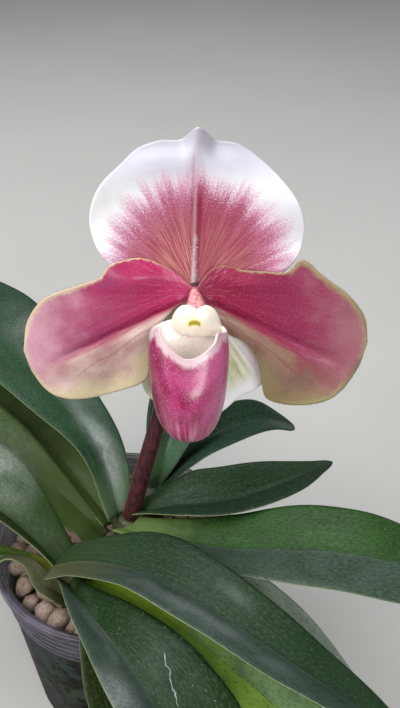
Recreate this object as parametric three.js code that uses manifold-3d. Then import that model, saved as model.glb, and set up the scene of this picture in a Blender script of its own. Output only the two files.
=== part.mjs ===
// A slipper orchid in bloom in a small clear plastic pot of pumice: three growths of strap leaves,
// and one flower on a hairy stem. Millimetres, +Z up, origin at the centre of the pot's underside.
// The flower looks towards -Y.
import * as THREE from "three";
import { mergeVertices } from "three/addons/utils/BufferGeometryUtils.js";
import Module from "manifold-3d";

const wasm = await Module();
wasm.setup();

// Driving dimensions
const GAP = 0.35; // air between pieces that grow or rest against each other
const POT = {
  height: 82,
  rimRadius: 47,
  baseRadius: 38,
  wall: 1.6,
  floor: 2,
  band: 19, // height of the ribbed part under the rim
  ribs: 5,
  sides: 28,
};
const FILL_HEIGHT = 71; // top of the pumice under its uppermost grains
const GRAIN = { count: 46, smallest: 4.2, largest: 6, seed: 11 };
const STEM_RADIUS = 3.1;
const LEAF_THICKNESS = 1.5;
const PETAL_THICKNESS = 1.1;
const FLOWER_CENTRE = [31.6, 9.5, 186.6];
const FLOWER_TILT = 20; // degrees that the flower looks up

const rad = THREE.MathUtils.degToRad;
const lerp = THREE.MathUtils.lerp;
const smooth = THREE.MathUtils.smoothstep;

// Materials
const paint = (color, roughness, extra = {}) =>
  new THREE.MeshStandardMaterial({ color, roughness, metalness: 0, ...extra });
const PLASTIC = paint("#b9b4c4", 0.25, { transparent: true, opacity: 0.5 });
const PUMICE = paint("#b7a48f", 0.95);
const LEAF = paint("#35603a", 0.45);
const SHEATH = paint("#66783f", 0.55);
const STEM = paint("#6b2633", 0.7);
const SEPAL = paint("#efe3e8", 0.5);
const PETAL = paint("#c04a76", 0.45);
const GREEN_SEPAL = paint("#b9c48e", 0.5);
const LIP = paint("#bf3f7f", 0.35);
const IVORY = paint("#f5efe2", 0.4);

// Solids
function solidOf(geometry) {
  const bare = new THREE.BufferGeometry();
  bare.setAttribute("position", geometry.getAttribute("position"));
  if (geometry.index) bare.setIndex(geometry.index);
  const merged = mergeVertices(bare, 1e-4);
  const mesh = new wasm.Mesh({
    numProp: 3,
    vertProperties: merged.getAttribute("position").array,
    triVerts: new Uint32Array(merged.index.array),
  });
  return new wasm.Manifold(mesh);
}

function geometryOf(solid) {
  const mesh = solid.getMesh();
  const geometry = new THREE.BufferGeometry();
  geometry.setAttribute("position", new THREE.BufferAttribute(mesh.vertProperties, 3));
  geometry.setIndex(new THREE.BufferAttribute(mesh.triVerts, 1));
  geometry.computeVertexNormals();
  return geometry;
}

function largestBody(solid) {
  return solid.decompose().reduce((a, b) => (b.volume() > a.volume() ? b : a));
}

// What is left of a geometry once the cutters are taken out of it, without loose slivers.
function trimmed(geometry, ...cutters) {
  let solid = solidOf(geometry);
  for (const cutter of cutters) solid = solid.subtract(cutter);
  return geometryOf(largestBody(solid));
}

function geometryFrom(points, faces) {
  const geometry = new THREE.BufferGeometry();
  const flat = points.flatMap((p) => [p.x, p.y, p.z]);
  geometry.setAttribute("position", new THREE.Float32BufferAttribute(flat, 3));
  let volume = 0;
  for (const [a, b, c] of faces) volume += points[a].dot(points[b].clone().cross(points[c]));
  geometry.setIndex(faces.flatMap(([a, b, c]) => (volume < 0 ? [a, c, b] : [a, b, c])));
  return geometry;
}

// The unit normal of surface(u, v), from points a small step away.
function normalAt(surface, u, v) {
  const step = 0.004;
  const du = surface(Math.min(u + step, 1), v).sub(surface(Math.max(u - step, 0), v));
  const dv = surface(u, Math.min(v + step, 1)).sub(surface(u, Math.max(v - step, 0)));
  return du.cross(dv).normalize();
}

// A closed thin blade round surface(u, v), with u and v from 0 to 1, split alike on both faces.
function blade(surface, alongSteps, acrossSteps, thickness, away = normalAt) {
  const points = [];
  const row = acrossSteps + 1;
  const side = (alongSteps + 1) * row;
  for (const face of [0.5, -0.5])
    for (let i = 0; i <= alongSteps; i++)
      for (let j = 0; j <= acrossSteps; j++) {
        const [u, v] = [i / alongSteps, j / acrossSteps];
        points.push(surface(u, v).addScaledVector(away(surface, u, v), face * thickness));
      }
  const faces = [];
  for (let i = 0; i < alongSteps; i++)
    for (let j = 0; j < acrossSteps; j++) {
      const [a, b, c, d] = [i * row + j, (i + 1) * row + j, (i + 1) * row + j + 1, i * row + j + 1];
      faces.push([a, b, c], [a, c, d], [side + a, side + c, side + b], [side + a, side + d, side + c]);
    }
  const rim = [];
  for (let j = 0; j < acrossSteps; j++) rim.push(j);
  for (let i = 0; i < alongSteps; i++) rim.push(i * row + acrossSteps);
  for (let j = acrossSteps; j > 0; j--) rim.push(alongSteps * row + j);
  for (let i = alongSteps; i > 0; i--) rim.push(i * row);
  rim.forEach((a, k) => {
    const b = rim[(k + 1) % rim.length];
    faces.push([a, b, side + b], [a, side + b, side + a]);
  });
  return geometryFrom(points, faces);
}

// A solid through closed rings of points, closed at the middle of the first and last ring.
function loft(rings) {
  const sides = rings[0].length;
  const middleOf = (ring) => ring.reduce((sum, p) => sum.add(p), new THREE.Vector3()).divideScalar(sides);
  const points = [...rings.flat(), middleOf(rings[0]), middleOf(rings.at(-1))];
  const [firstMiddle, lastMiddle] = [points.length - 2, points.length - 1];
  const faces = [];
  for (let i = 0; i + 1 < rings.length; i++)
    for (let j = 0; j < sides; j++) {
      const [a, b] = [i * sides + j, i * sides + ((j + 1) % sides)];
      faces.push([a, b, b + sides], [a, b + sides, a + sides]);
    }
  const last = (rings.length - 1) * sides;
  for (let j = 0; j < sides; j++) {
    const next = (j + 1) % sides;
    faces.push([firstMiddle, next, j], [lastMiddle, last + j, last + next]);
  }
  return geometryFrom(points, faces);
}

// A round tube along a curve, with its radius given by radiusAt(0 to 1).
function tube(curve, radiusAt, steps, sides) {
  const frames = curve.computeFrenetFrames(steps, false);
  const rings = [];
  for (let i = 0; i <= steps; i++) {
    const centre = curve.getPointAt(i / steps);
    const ring = [];
    for (let j = 0; j < sides; j++) {
      const angle = (2 * Math.PI * j) / sides;
      ring.push(
        centre
          .clone()
          .addScaledVector(frames.normals[i], radiusAt(i / steps) * Math.cos(angle))
          .addScaledVector(frames.binormals[i], radiusAt(i / steps) * Math.sin(angle)),
      );
    }
    rings.push(ring);
  }
  return loft(rings);
}

function placed(name, geometry, material) {
  const mesh = new THREE.Mesh(geometry, material);
  mesh.name = name;
  return mesh;
}

// Numbers from 0 to 1 that are the same on each run.
function seeded(seed) {
  let state = seed;
  return () => {
    state = (state * 16807) % 2147483647;
    return state / 2147483647;
  };
}

// Pot
const wallRadius = (z) => lerp(POT.baseRadius, POT.rimRadius - 2, z / POT.height);

// A round solid about the Z axis, from its section as pairs of radius and height.
function turned(profile, sides) {
  const section = profile.map(([r, z]) => new THREE.Vector2(r, z));
  return solidOf(new THREE.LatheGeometry(section, sides).rotateX(Math.PI / 2));
}

function makePot() {
  const { height, rimRadius, baseRadius, wall, floor, band, ribs, sides } = POT;
  const bandFoot = height - band;
  const profile = [[0, 0], [baseRadius - 1, 0], [wallRadius(1.5), 1.5], [wallRadius(bandFoot), bandFoot]];
  const pitch = (band - 5) / ribs;
  for (let i = 0; i < ribs; i++) {
    const z = bandFoot + 1 + i * pitch;
    profile.push([wallRadius(z) + 0.9, z]);
    profile.push([wallRadius(z) + 0.9, z + pitch * 0.55]);
    profile.push([wallRadius(z) + 0.3, z + pitch * 0.75]);
  }
  profile.push([rimRadius, height - 3.5], [rimRadius, height - 0.5], [rimRadius - 0.6, height]);
  profile.push([rimRadius - 2.4, height], [wallRadius(height - 3) - wall, height - 3]);
  profile.push([wallRadius(floor + 1) - wall, floor + 1]);
  profile.push([wallRadius(floor) - wall - 1.5, floor], [0, floor]);
  let pot = turned(profile, sides);
  if (pot.volume() < 0) throw new Error("the pot's profile runs the wrong way");
  const drains = 6;
  for (let i = 0; i < drains; i++) {
    const hole = new THREE.CylinderGeometry(3.5, 3.5, 3 * floor, 10).rotateX(Math.PI / 2);
    const angle = (2 * Math.PI * i) / drains;
    hole.translate(20 * Math.cos(angle), 20 * Math.sin(angle), floor / 2);
    pot = pot.subtract(solidOf(hole));
  }
  return placed("pot", geometryOf(pot), PLASTIC);
}

// Growths: the short stems, wrapped in leaf bases, that the leaves fan out from. Each ring is its height
// and its half axes along and across the fan.
const GROWTHS = [
  { name: "growth_front", at: [-14, -25], fan: 150, size: 1 },
  { name: "growth_flowering", at: [6, -1.4], fan: 140, size: 1 },
  { name: "growth_rear", at: [14, 14], fan: 60, size: 0.85 },
];
const GROWTH_RINGS = [
  [60, 4.5, 4.5],
  [78, 5.5, 5],
  [85, 7.5, 5.2],
  [90, 7.5, 4.6],
  [93, 4.5, 3],
];

function growthShape(growth, extra) {
  const sides = 14;
  const turn = rad(growth.fan);
  const rings = GROWTH_RINGS.map(([z, along, across], k) => {
    const end = k === 0 ? -extra : k === GROWTH_RINGS.length - 1 ? extra : 0;
    return Array.from({ length: sides }, (_, j) => {
      const angle = (2 * Math.PI * j) / sides;
      const x = (along * growth.size + extra) * Math.cos(angle);
      const y = (across * growth.size + extra) * Math.sin(angle);
      return new THREE.Vector3(
        growth.at[0] + x * Math.cos(turn) - y * Math.sin(turn),
        growth.at[1] + x * Math.sin(turn) + y * Math.cos(turn),
        z + end,
      );
    });
  });
  return loft(rings);
}
const growthCutters = GROWTHS.map((growth) => solidOf(growthShape(growth, GAP)));

// Pumice: a filled core with grains over its top, and a plain hole for each growth.
function makePumice() {
  const clearance = 0.5;
  const inner = (z) => wallRadius(z) - POT.wall - clearance;
  const foot = POT.floor + GAP;
  const profile = [[0, foot], [inner(foot) - 2, foot], [inner(foot + 2), foot + 2]];
  profile.push([inner(FILL_HEIGHT - 2), FILL_HEIGHT - 2], [0, FILL_HEIGHT]);
  let fill = turned(profile, POT.sides);
  const random = seeded(GRAIN.seed);
  const goldenAngle = Math.PI * (3 - Math.sqrt(5));
  const reach = inner(FILL_HEIGHT) - GRAIN.largest - 0.6;
  for (let i = 0; i < GRAIN.count; i++) {
    const radius = lerp(GRAIN.smallest, GRAIN.largest, random());
    const r = reach * Math.sqrt((i + 0.5) / GRAIN.count);
    const grain = new THREE.IcosahedronGeometry(radius, 0);
    grain.rotateX(6 * random()).rotateZ(6 * random()).scale(1.12, 1, 0.85);
    const level = FILL_HEIGHT + 2 * random() - 0.8;
    grain.translate(r * Math.cos(i * goldenAngle), r * Math.sin(i * goldenAngle), level);
    fill = fill.add(solidOf(grain));
  }
  for (const cutter of growthCutters) fill = fill.subtract(cutter);
  return placed("pumice", geometryOf(largestBody(fill)), PUMICE);
}

// Leaves. Each follows a path that starts inside its growth and ends at its tip. Its foot is that share
// of its full width, it is widest at that share of its length, and a larger taper makes its tip blunter.
// Left and right are the shares of the width that each half has, as seen from the foot, at the foot and
// at the tip. Fold is how steeply the halves stand, in degrees, at the foot, the middle and the tip.
// Roll leans the blade over at its foot and its tip: a positive roll raises the left edge. Where two
// leaves would meet, the later one in the list gives way.
const LEAVES = [
  {
    name: "leaf_front_1", width: 38, foot: 0.55, widest: 0.3, taper: 1.2,
    fold: [12, 42, 28], roll: [-2, -8],
    left: [0.78, 1], right: [0.62, 1.34],
    path: [
      [-19, -24, 92], [-8, -27.5, 99], [12, -37, 106], [35, -54, 110], [58, -69, 106], [84, -81, 94],
      [112, -96, 78],
    ],
  },
  {
    name: "leaf_front_2", width: 38, foot: 0.4, widest: 0.6, taper: 3,
    fold: [64, 46, 34], roll: [0, -16],
    left: [0.58, 1.38], right: [0.6, 1],
    path: [[-14, -28, 88], [-7, -42, 96], [5, -60, 102], [20, -81, 100], [42, -112, 86]],
  },
  {
    name: "leaf_front_5", width: 43, foot: 0.4, widest: 0.4, taper: 2.4,
    fold: [56, 40, 26], roll: [0, 4],
    left: [0.3, 0.15],
    path: [[-15, -24, 86], [-25, -19.5, 99], [-44, -13, 115], [-80, 0, 118], [-124, 18, 106]],
  },
  {
    name: "leaf_flowering_4", width: 36, foot: 0.36, widest: 0.55, taper: 3,
    fold: [55, 28, -4], roll: [0, 0],
    path: [[4, -5, 90], [22, -16, 97], [44, -26, 104], [76, -33, 111], [102, -37, 109], [138, -37, 96]],
  },
  {
    name: "leaf_flowering_1", width: 42, foot: 0.36, widest: 0.62, taper: 3,
    fold: [50, 20, 12], roll: [0, 0],
    path: [[2, 1, 93], [-5, 12, 116], [-24, 31, 129], [-55, 70, 133], [-98, 122, 125]],
  },
  {
    name: "leaf_flowering_5", width: 28, foot: 0.36, widest: 0.35, taper: 2.2,
    fold: [55, 46, 16], roll: [0, 0],
    path: [[9, -1, 95], [24, -4, 101], [44, -5, 106], [64, 0, 110], [83, 9, 112]],
  },
  {
    name: "leaf_flowering_2", width: 40, foot: 0.46, widest: 0.5, taper: 2.4,
    fold: [32, 24, 14], roll: [-10, -8],
    right: [0.3, 1.8],
    path: [[-3, -5, 87], [-12, -1, 95], [-25, 5, 104], [-45, 16, 109], [-80, 31, 110], [-124, 52, 99]],
  },
  {
    name: "leaf_front_3", width: 34, foot: 0.36, widest: 0.4, taper: 2,
    fold: [40, 14, 10], roll: [0, 0],
    path: [[-11, -25, 87], [8, -36, 93], [33, -57, 95], [59, -78, 89], [82, -100, 76]],
  },
  {
    name: "leaf_flowering_3", width: 34, foot: 0.36, widest: 0.5, taper: 2,
    fold: [50, 18, 12], roll: [0, 0],
    path: [[-1, 0, 88], [-15, 14, 97], [-39, 39, 102], [-66, 63, 100], [-99, 96, 88]],
  },
  {
    name: "leaf_flowering_6", width: 34, foot: 0.36, widest: 0.5, taper: 2,
    fold: [40, 10, 6], roll: [0, 0],
    left: [1, 0.6],
    path: [[6, -5, 86], [25, -22, 90], [48, -38, 89], [71, -52, 80], [96, -66, 62]],
  },
  {
    name: "leaf_front_4", width: 28, foot: 0.36, widest: 0.5, taper: 2,
    fold: [50, 22, 14], roll: [0, 0],
    path: [[-11, -30, 85], [0, -45, 85], [11, -66, 76], [23, -92, 56]],
  },
  {
    name: "leaf_front_7", width: 13, foot: 0.9, widest: 0.1, taper: 0.6,
    fold: [30, 24, 20], roll: [0, 0],
    path: [[-15, -29, 82], [-22.5, -27, 86.5], [-29, -20.5, 90], [-37, -17, 89], [-45, -18, 84]],
  },
  {
    name: "leaf_front_6", width: 5, foot: 0.9, widest: 0.4, taper: 2,
    fold: [40, 24, 12], roll: [0, 0],
    path: [[-17, -23, 82], [-28, -15, 84], [-49, -9, 84], [-72, -2, 75]],
  },
  {
    name: "leaf_rear_2", width: 26, foot: 0.36, widest: 0.4, taper: 2,
    fold: [55, 36, 25], roll: [0, 16],
    path: [[16, 15, 90], [20, 21, 106], [26, 40, 119], [28, 66, 119], [28, 90, 108]],
  },
  {
    name: "leaf_rear_1", width: 24, foot: 0.36, widest: 0.3, taper: 8,
    fold: [50, 38, 10], roll: [0, 0],
    path: [[14, 13, 90], [26, 21, 102], [41, 31, 106], [58, 42, 104.5], [73, 50, 95]],
  },
];

// Half width along a leaf, as a share of its full half width.
function leafWidth(leaf, u) {
  const foot = lerp(leaf.foot, 1, smooth(u, 0, leaf.widest));
  return foot * (1 - Math.pow(Math.max(u - leaf.widest, 0) / (1.004 - leaf.widest), leaf.taper));
}

function leafFold(leaf, u) {
  const [foot, middle, tip] = leaf.fold;
  return u < 0.3 ? lerp(foot, middle, smooth(u, 0, 0.3)) : lerp(middle, tip, (u - 0.3) / 0.7);
}

function leafSurface(leaf) {
  const curve = new THREE.CatmullRomCurve3(leaf.path.map((p) => new THREE.Vector3(...p)));
  const flattening = 0.25; // the halves bend outwards towards their edges
  const { left = [1, 1], right = [1, 1] } = leaf;
  return (u, v) => {
    const along = curve.getTangentAt(u);
    const side = new THREE.Vector3(-along.y, along.x, 0).normalize();
    side.applyAxisAngle(along, rad(lerp(leaf.roll[0], leaf.roll[1], u)));
    const up = along.clone().cross(side);
    const across = 2 * v - 1;
    const share = lerp(...(across > 0 ? left : right), u);
    const halfWidth = (leaf.width / 2) * leafWidth(leaf, u) * share;
    const angle = rad(leafFold(leaf, u)) * (1 - flattening * Math.abs(across));
    return curve
      .getPointAt(u)
      .addScaledVector(side, halfWidth * across * Math.cos(angle))
      .addScaledVector(up, halfWidth * Math.abs(across) * Math.sin(angle));
  };
}

const leafBody = (leaf, extra) =>
  blade(leafSurface({ ...leaf, width: leaf.width + 2 * extra }), 12, 4, LEAF_THICKNESS + 2 * extra);

// The flower's pieces are laid out in millimetres from its centre: x to the right and y upwards as seen
// from the front, and z out of the face towards the viewer.
const FACING = new THREE.Matrix4()
  .makeRotationX(rad(90 - FLOWER_TILT))
  .setPosition(new THREE.Vector3(...FLOWER_CENTRE));
const inWorld = (x, y, z) => new THREE.Vector3(x, y, z).applyMatrix4(FACING);
const STEM_PATH = [[7, -2.2, 94.4], [12.2, 1.5, 114], [18, 6, 134], [22.8, 10.5, 152], [26, 14.5, 166]];

function stemShape(extra) {
  const curve = new THREE.CatmullRomCurve3(STEM_PATH.map((p) => new THREE.Vector3(...p)));
  return tube(curve, (t) => STEM_RADIUS * (1 - 0.12 * t) + extra, 12, 12);
}

// Small leaves that clasp the stem: one below the ovary and one at its foot.
const BRACTS = [
  {
    name: "bract", width: 11, foot: 0.7, widest: 0.35, taper: 1.8,
    fold: [50, 40, 20], roll: [0, 0],
    path: [[25.2, 16.8, 157], [27.8, 21.2, 167], [30.6, 26.8, 178], [33, 33, 188]],
  },
  {
    name: "stem_sheath", width: 8, foot: 0.7, widest: 0.35, taper: 2,
    fold: [50, 40, 20], roll: [0, 0],
    path: [[8.4, 3.7, 98], [10.6, 6.7, 105], [12.2, 8.8, 113]],
  },
];

function makeLeaves() {
  const cutters = [...growthCutters, solidOf(stemShape(GAP))];
  return [...LEAVES, ...BRACTS].map((leaf) => {
    const geometry = trimmed(leafBody(leaf, 0), ...cutters);
    cutters.push(solidOf(leafBody(leaf, GAP)));
    return placed(leaf.name, geometry, LEAVES.includes(leaf) ? LEAF : SHEATH);
  });
}

const STUB = { radius: 2.4, front: 0.6 }; // the top of the ovary, which carries the petals

function ovaryShape(extra) {
  const foot = new THREE.Vector3(...STEM_PATH.at(-1));
  const lift = foot.clone().sub(new THREE.Vector3(...STEM_PATH.at(-2))).normalize();
  const curve = new THREE.CatmullRomCurve3([
    foot.clone().addScaledVector(lift, GAP),
    foot.clone().addScaledVector(lift, 6),
    inWorld(-1.5, -9, -11),
    inWorld(0, -2.5, -10.5),
    inWorld(0, 0, -4),
    inWorld(0, 0, STUB.front + extra),
  ]);
  const widest = 2.9;
  const narrowing = (t) => (widest - STUB.radius) * smooth(t, 0.7, 0.9);
  const radiusAt = (t) => lerp(2.5, widest, smooth(t, 0, 0.5)) - narrowing(t) + extra;
  return tube(curve, radiusAt, 14, 12);
}
const ovaryCutter = solidOf(ovaryShape(GAP));

// Each outline runs from the foot of a petal or sepal round its whole edge and back to the foot.
const DORSAL = [
  [-2, -1], [-14, 2], [-23.5, 5.5], [-30, 10.5], [-33.4, 18], [-33.3, 25], [-29.8, 33],
  [-23, 40], [-18, 44.5], [-11, 46.8], [-4.5, 47.1], [1.2, 50.8], [6.6, 47], [13.5, 45.8],
  [20, 41.7], [27.4, 34.8], [33, 26.8], [35.2, 18.5], [32.8, 9.8], [26, 4], [14, 1],
  [2, -1],
];
const SYNSEPAL = [
  [-2, -2], [-10, -10], [-16, -18.5], [-18.5, -27], [-17, -35], [-11, -41], [-4, -45],
  [2.5, -46.5], [10, -41.5], [15, -37], [20.5, -34], [22.6, -31], [21.8, -25], [18, -19],
  [11, -10], [2, -2],
];
const LEFT_PETAL = [
  [-0.6, -1.6], [-6.5, -5.5], [-10.5, -9], [-14, -14], [-15, -22], [-16, -29], [-24, -32.3],
  [-35, -34.6], [-46.4, -32], [-52.4, -25.4], [-54.6, -17.5], [-53, -8.3], [-47, -0.6], [-38, 2.6],
  [-30, 5.4], [-27, 9], [-22.5, 10.4], [-17.5, 11], [-12, 9.5], [-6, 6], [-0.6, 1.6],
];
const RIGHT_PETAL = [
  [0.6, -1.6], [4.5, -5.6], [8, -9], [10.5, -13.5], [16.2, -16.6], [20.4, -22.5], [21.8, -30],
  [23.6, -35.2], [32, -37.4], [44, -33.6], [52.4, -24], [54.8, -15], [53.8, -7.5], [48.6, -0.2],
  [40, 6.2], [33.5, 10.9], [29, 7.2], [21, 7], [15.5, 7.2], [9, 8.5], [5, 7],
  [0.6, 1.6],
];

// A surface that spreads from the foot of an outline to its edge: u runs outwards and v round the edge.
function spread(outline, depth) {
  const curve = new THREE.SplineCurve(outline.map((p) => new THREE.Vector2(...p)));
  const [first, last] = [curve.points[0], curve.points.at(-1)];
  return (u, v) => {
    const flat = first.clone().lerp(last, v).lerp(curve.getPoint(v), u);
    return new THREE.Vector3(flat.x, flat.y, depth(flat.x, flat.y, u));
  };
}

// A surface between the lower and the upper edge of an outline whose tip is the point of that number: u
// runs from the foot to just short of the tip and v from the lower to the upper edge.
function between(outline, tip, depth) {
  const points = outline.map((p) => new THREE.Vector2(...p));
  const lower = new THREE.SplineCurve(points.slice(0, tip + 1));
  const upper = new THREE.SplineCurve(points.slice(tip).reverse());
  return (u, v) => {
    const flat = lower.getPointAt(0.98 * u).lerp(upper.getPointAt(0.98 * u), v);
    return new THREE.Vector3(flat.x, flat.y, depth(flat.x, flat.y, u, v));
  };
}
const bump = (t, middle, spread) => Math.exp(-(((t - middle) / spread) ** 2));

// The dorsal sepal stands behind the petals and is cupped a little. It has a groove down its middle and
// a top edge that curls back on either side of its point.
function dorsalDepth(x, y, u) {
  const cup = 5 * smooth(y, 8, 34) * (x / 34) ** 2;
  const back = 4 * Math.sin((Math.PI * Math.max(y, 0)) / 52);
  const groove = 0.9 * bump(x, 0.02 * y, 1.6) * smooth(y, 0, 8) * (1 - smooth(y, 30, 50));
  const wave = 1.3 * smooth(u, 0.7, 1) * smooth(y, 8, 16) * Math.sin(y / 4.2 + (x > 0 ? 1 : 0));
  const curl = 3 * smooth(u, 0.82, 1) * smooth(y, 36, 46) * smooth(Math.abs(x - 1.2), 0, 6);
  return -3.4 + cup - back + wave - groove - curl;
}

function synsepalDepth(x, y) {
  const back = 4 * Math.sin((Math.PI * Math.min(-y, 46)) / 46);
  return -3.4 - Math.max(back, 0) + 2.6 * smooth(-y, 8, 40) * (x / 20) ** 2 - 0.7 * bump(x, 1, 1.6);
}

// The petals reach forward, with a rolled upper edge near the foot, a groove along the middle vein and
// waves along their edges.
function petalDepth(x, y, u, v) {
  const out = Math.abs(x);
  const reach = 6.5 * smooth(out, 4, 54);
  const roll = 1.5 * smooth(v, 0.75, 1) * bump(u, 0.28, 0.15);
  const shoulder = 1.8 * bump(out, 19, 9) * bump(y, 5.5, 4.5);
  const groove = 1 * bump(y, -2.2 - 0.42 * out, 1.8) * smooth(out, 2, 10) * (1 - smooth(out, 36, 50));
  const edge = smooth(Math.abs(2 * v - 1), 0.5, 1);
  const wave = 1.2 * edge * Math.sin(19 * u) * smooth(out, 16, 30) * (1 - 0.5 * smooth(v, 0.4, 0.8));
  return reach - roll + shoulder - groove + wave;
}

function flowerPiece(name, geometry, material) {
  return placed(name, trimmed(geometry.applyMatrix4(FACING), ovaryCutter), material);
}

// The pouch hangs from behind the column. Its rings run from the rim to the toe: height of the middle of
// the ring, half width, half depth and how far its middle stands forward. The rim dips in front and
// rises behind into a narrow tongue that joins the foot of the column.
const POUCH = { x: -1.9, wall: 1, sides: 24 };
const POUCH_RINGS = [
  [-12, 12.2, 9.6, 12.5],
  [-18, 12.6, 10.6, 13.2],
  [-25, 12.2, 11.4, 14],
  [-32, 11.2, 11, 14.4],
  [-37.5, 9.6, 9.6, 14.4],
  [-41.4, 7.6, 7.8, 14.2],
  [-43.9, 5, 5.2, 14],
  [-44.8, 2, 2.2, 13.8],
];
function rimLift(angle) {
  const turned = Math.min(angle, 2 * Math.PI - angle);
  const front = -7.6 * bump(turned, 0, 0.56);
  const sides = -1.2 * bump(turned, Math.PI / 2, 0.4);
  const tongue = 1.4 * smooth(turned, 2, Math.PI) + 4.3 * smooth(turned, 2.7, Math.PI);
  return 2.6 + front + sides + tongue;
}

function makePouch() {
  const rings = [];
  const addRing = ([height, halfWidth, halfDepth, forward], k, inset) => {
    const ring = [];
    for (let j = 0; j < POUCH.sides; j++) {
      const angle = (2 * Math.PI * j) / POUCH.sides;
      const lift = rimLift(angle) * (1 - smooth(k, 0, 4));
      ring.push(
        new THREE.Vector3(
          POUCH.x + (halfWidth - inset) * Math.sin(angle),
          height + lift + (k > 4 ? inset : 0),
          forward + (halfDepth - inset) * Math.cos(angle),
        ),
      );
    }
    rings.push(ring);
  };
  const last = POUCH_RINGS.length - 1;
  for (let k = last; k >= 0; k--) addRing(POUCH_RINGS[k], k, 0);
  for (let k = 0; k <= last; k++) addRing(POUCH_RINGS[k], k, POUCH.wall);
  return flowerPiece("pouch", loft(rings), LIP);
}

const STAMINODE = [
  [0.6, -2.9], [-1.8, -2], [-4.6, -3.2], [-6.6, -6.2], [-7, -9.6], [-5, -12], [-2.6, -12.2], [-0.8, -11],
  [2.4, -11], [4.4, -12.4], [6.8, -11.8], [8.2, -9], [7.6, -5.8], [5.8, -3], [3.2, -1.9],
];
function makeStaminode() {
  const [middleX, middleY] = [0.6, -7];
  const sides = 30;
  const thickness = 1.4;
  const outline = new THREE.CatmullRomCurve3(STAMINODE.map((p) => new THREE.Vector3(...p, 0)), true);
  const layer = (share, offset) =>
    Array.from({ length: sides }, (_, j) => {
      const edge = outline.getPoint(j / sides);
      const [x, y] = [lerp(middleX, edge.x, share), lerp(middleY, edge.y, share)];
      return new THREE.Vector3(x, y, 12.4 - 0.045 * ((x - middleX) ** 2 + (y - middleY) ** 2) + offset);
    });
  const back = [layer(0.4, -thickness), layer(0.9, -thickness), layer(1, -thickness / 2)];
  const front = [layer(0.92, 0), layer(0.4, 0)];
  return flowerPiece("staminode", loft([...back, ...front]), IVORY);
}

// The column leaves the middle of the flower, swells into a hairy boss and carries the staminode.
function makeColumn() {
  const curve = new THREE.CatmullRomCurve3([
    new THREE.Vector3(-0.3, 0.2, STUB.front + 2 * GAP),
    new THREE.Vector3(-0.3, -0.4, 3.6),
    new THREE.Vector3(0.2, -2.2, 6.4),
    new THREE.Vector3(0.6, -5.4, 7.8),
  ]);
  const radiusAt = (t) => lerp(2.2, 3.4, smooth(t, 0, 0.5)) * (1 - 0.25 * smooth(t, 0.6, 1));
  return placed("column", tube(curve, radiusAt, 8, 10).applyMatrix4(FACING), PETAL);
}

const forward = () => new THREE.Vector3(0, 0, 1);

function flowerSheet(name, surface, steps, material) {
  return flowerPiece(name, blade(surface, ...steps, PETAL_THICKNESS, forward), material);
}

function makeSepalsAndPetals() {
  const round = (outline) => [6, outline.length - 1];
  return [
    flowerSheet("dorsal_sepal", spread(DORSAL, dorsalDepth), round(DORSAL), SEPAL),
    flowerSheet("synsepal", spread(SYNSEPAL, synsepalDepth), round(SYNSEPAL), GREEN_SEPAL),
    flowerSheet("petal_left", between(LEFT_PETAL, 10, petalDepth), [20, 6], PETAL),
    flowerSheet("petal_right", between(RIGHT_PETAL, 11, petalDepth), [22, 6], PETAL),
  ];
}

const plant = new THREE.Group();
plant.add(makePot(), makePumice());
GROWTHS.forEach((growth) => plant.add(placed(growth.name, growthShape(growth, 0), SHEATH)));
plant.add(...makeLeaves(), placed("stem", stemShape(0), STEM), placed("ovary", ovaryShape(0), STEM));
plant.add(...makeSepalsAndPetals(), makePouch(), makeColumn(), makeStaminode());

export default plant;
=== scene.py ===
# The looks of a slipper orchid in bloom in a small clear pot of pumice. Shapes are worked out in
# millimetres, in the part's own frame: +Z up, origin at the centre of the pot's underside, the flower
# looking towards -Y.
import math

import bmesh
import bpy
import numpy as np
from mathutils import Matrix, noise


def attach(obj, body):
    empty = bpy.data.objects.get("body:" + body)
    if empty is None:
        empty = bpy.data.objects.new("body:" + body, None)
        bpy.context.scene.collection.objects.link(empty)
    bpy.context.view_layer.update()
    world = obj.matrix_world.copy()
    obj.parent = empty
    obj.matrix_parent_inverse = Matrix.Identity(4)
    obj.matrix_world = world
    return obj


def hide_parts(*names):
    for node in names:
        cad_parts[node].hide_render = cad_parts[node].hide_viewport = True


MM = 0.001
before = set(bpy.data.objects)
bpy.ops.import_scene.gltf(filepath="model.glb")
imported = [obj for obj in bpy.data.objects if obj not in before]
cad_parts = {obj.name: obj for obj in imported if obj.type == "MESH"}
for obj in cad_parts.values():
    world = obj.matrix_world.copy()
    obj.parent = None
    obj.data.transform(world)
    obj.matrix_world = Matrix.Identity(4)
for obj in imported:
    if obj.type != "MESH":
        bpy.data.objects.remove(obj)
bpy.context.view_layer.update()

# Driving sizes, in millimetres and degrees
POT = {"height": 82, "rim": 47, "base": 38, "wall": 1.6, "floor": 2, "band": 19, "ribs": 5}
BAND_FOOT = POT["height"] - POT["band"]
RIB_PITCH = (POT["band"] - 4.5) / POT["ribs"]
DRAINS = {"count": 6, "from_middle": 20, "radius": 3.5}
FILL_HEIGHT = 71
STEM_RADIUS = 3.1
LEAF_THICKNESS = 1.5
PETAL_THICKNESS = 1.1
FLOWER_CENTRE = np.array([31.6, 9.5, 186.6])
FLOWER_TILT = 20
CAMERA = {"at": (33.2, -204.5, 317.5), "pitch": 36, "lens": 39.66, "sensor": 36}


# Numbers
def lerp(a, b, t):
    return a + (b - a) * t


def smooth(t, low, high):
    x = np.clip((t - low) / (high - low), 0, 1)
    return x * x * (3 - 2 * x)


def bump(t, middle, spread):
    return np.exp(-(((t - middle) / spread) ** 2))


def together(*coordinates):
    """Points from an array of each of their coordinates."""
    return np.stack(coordinates, axis=-1)


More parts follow.
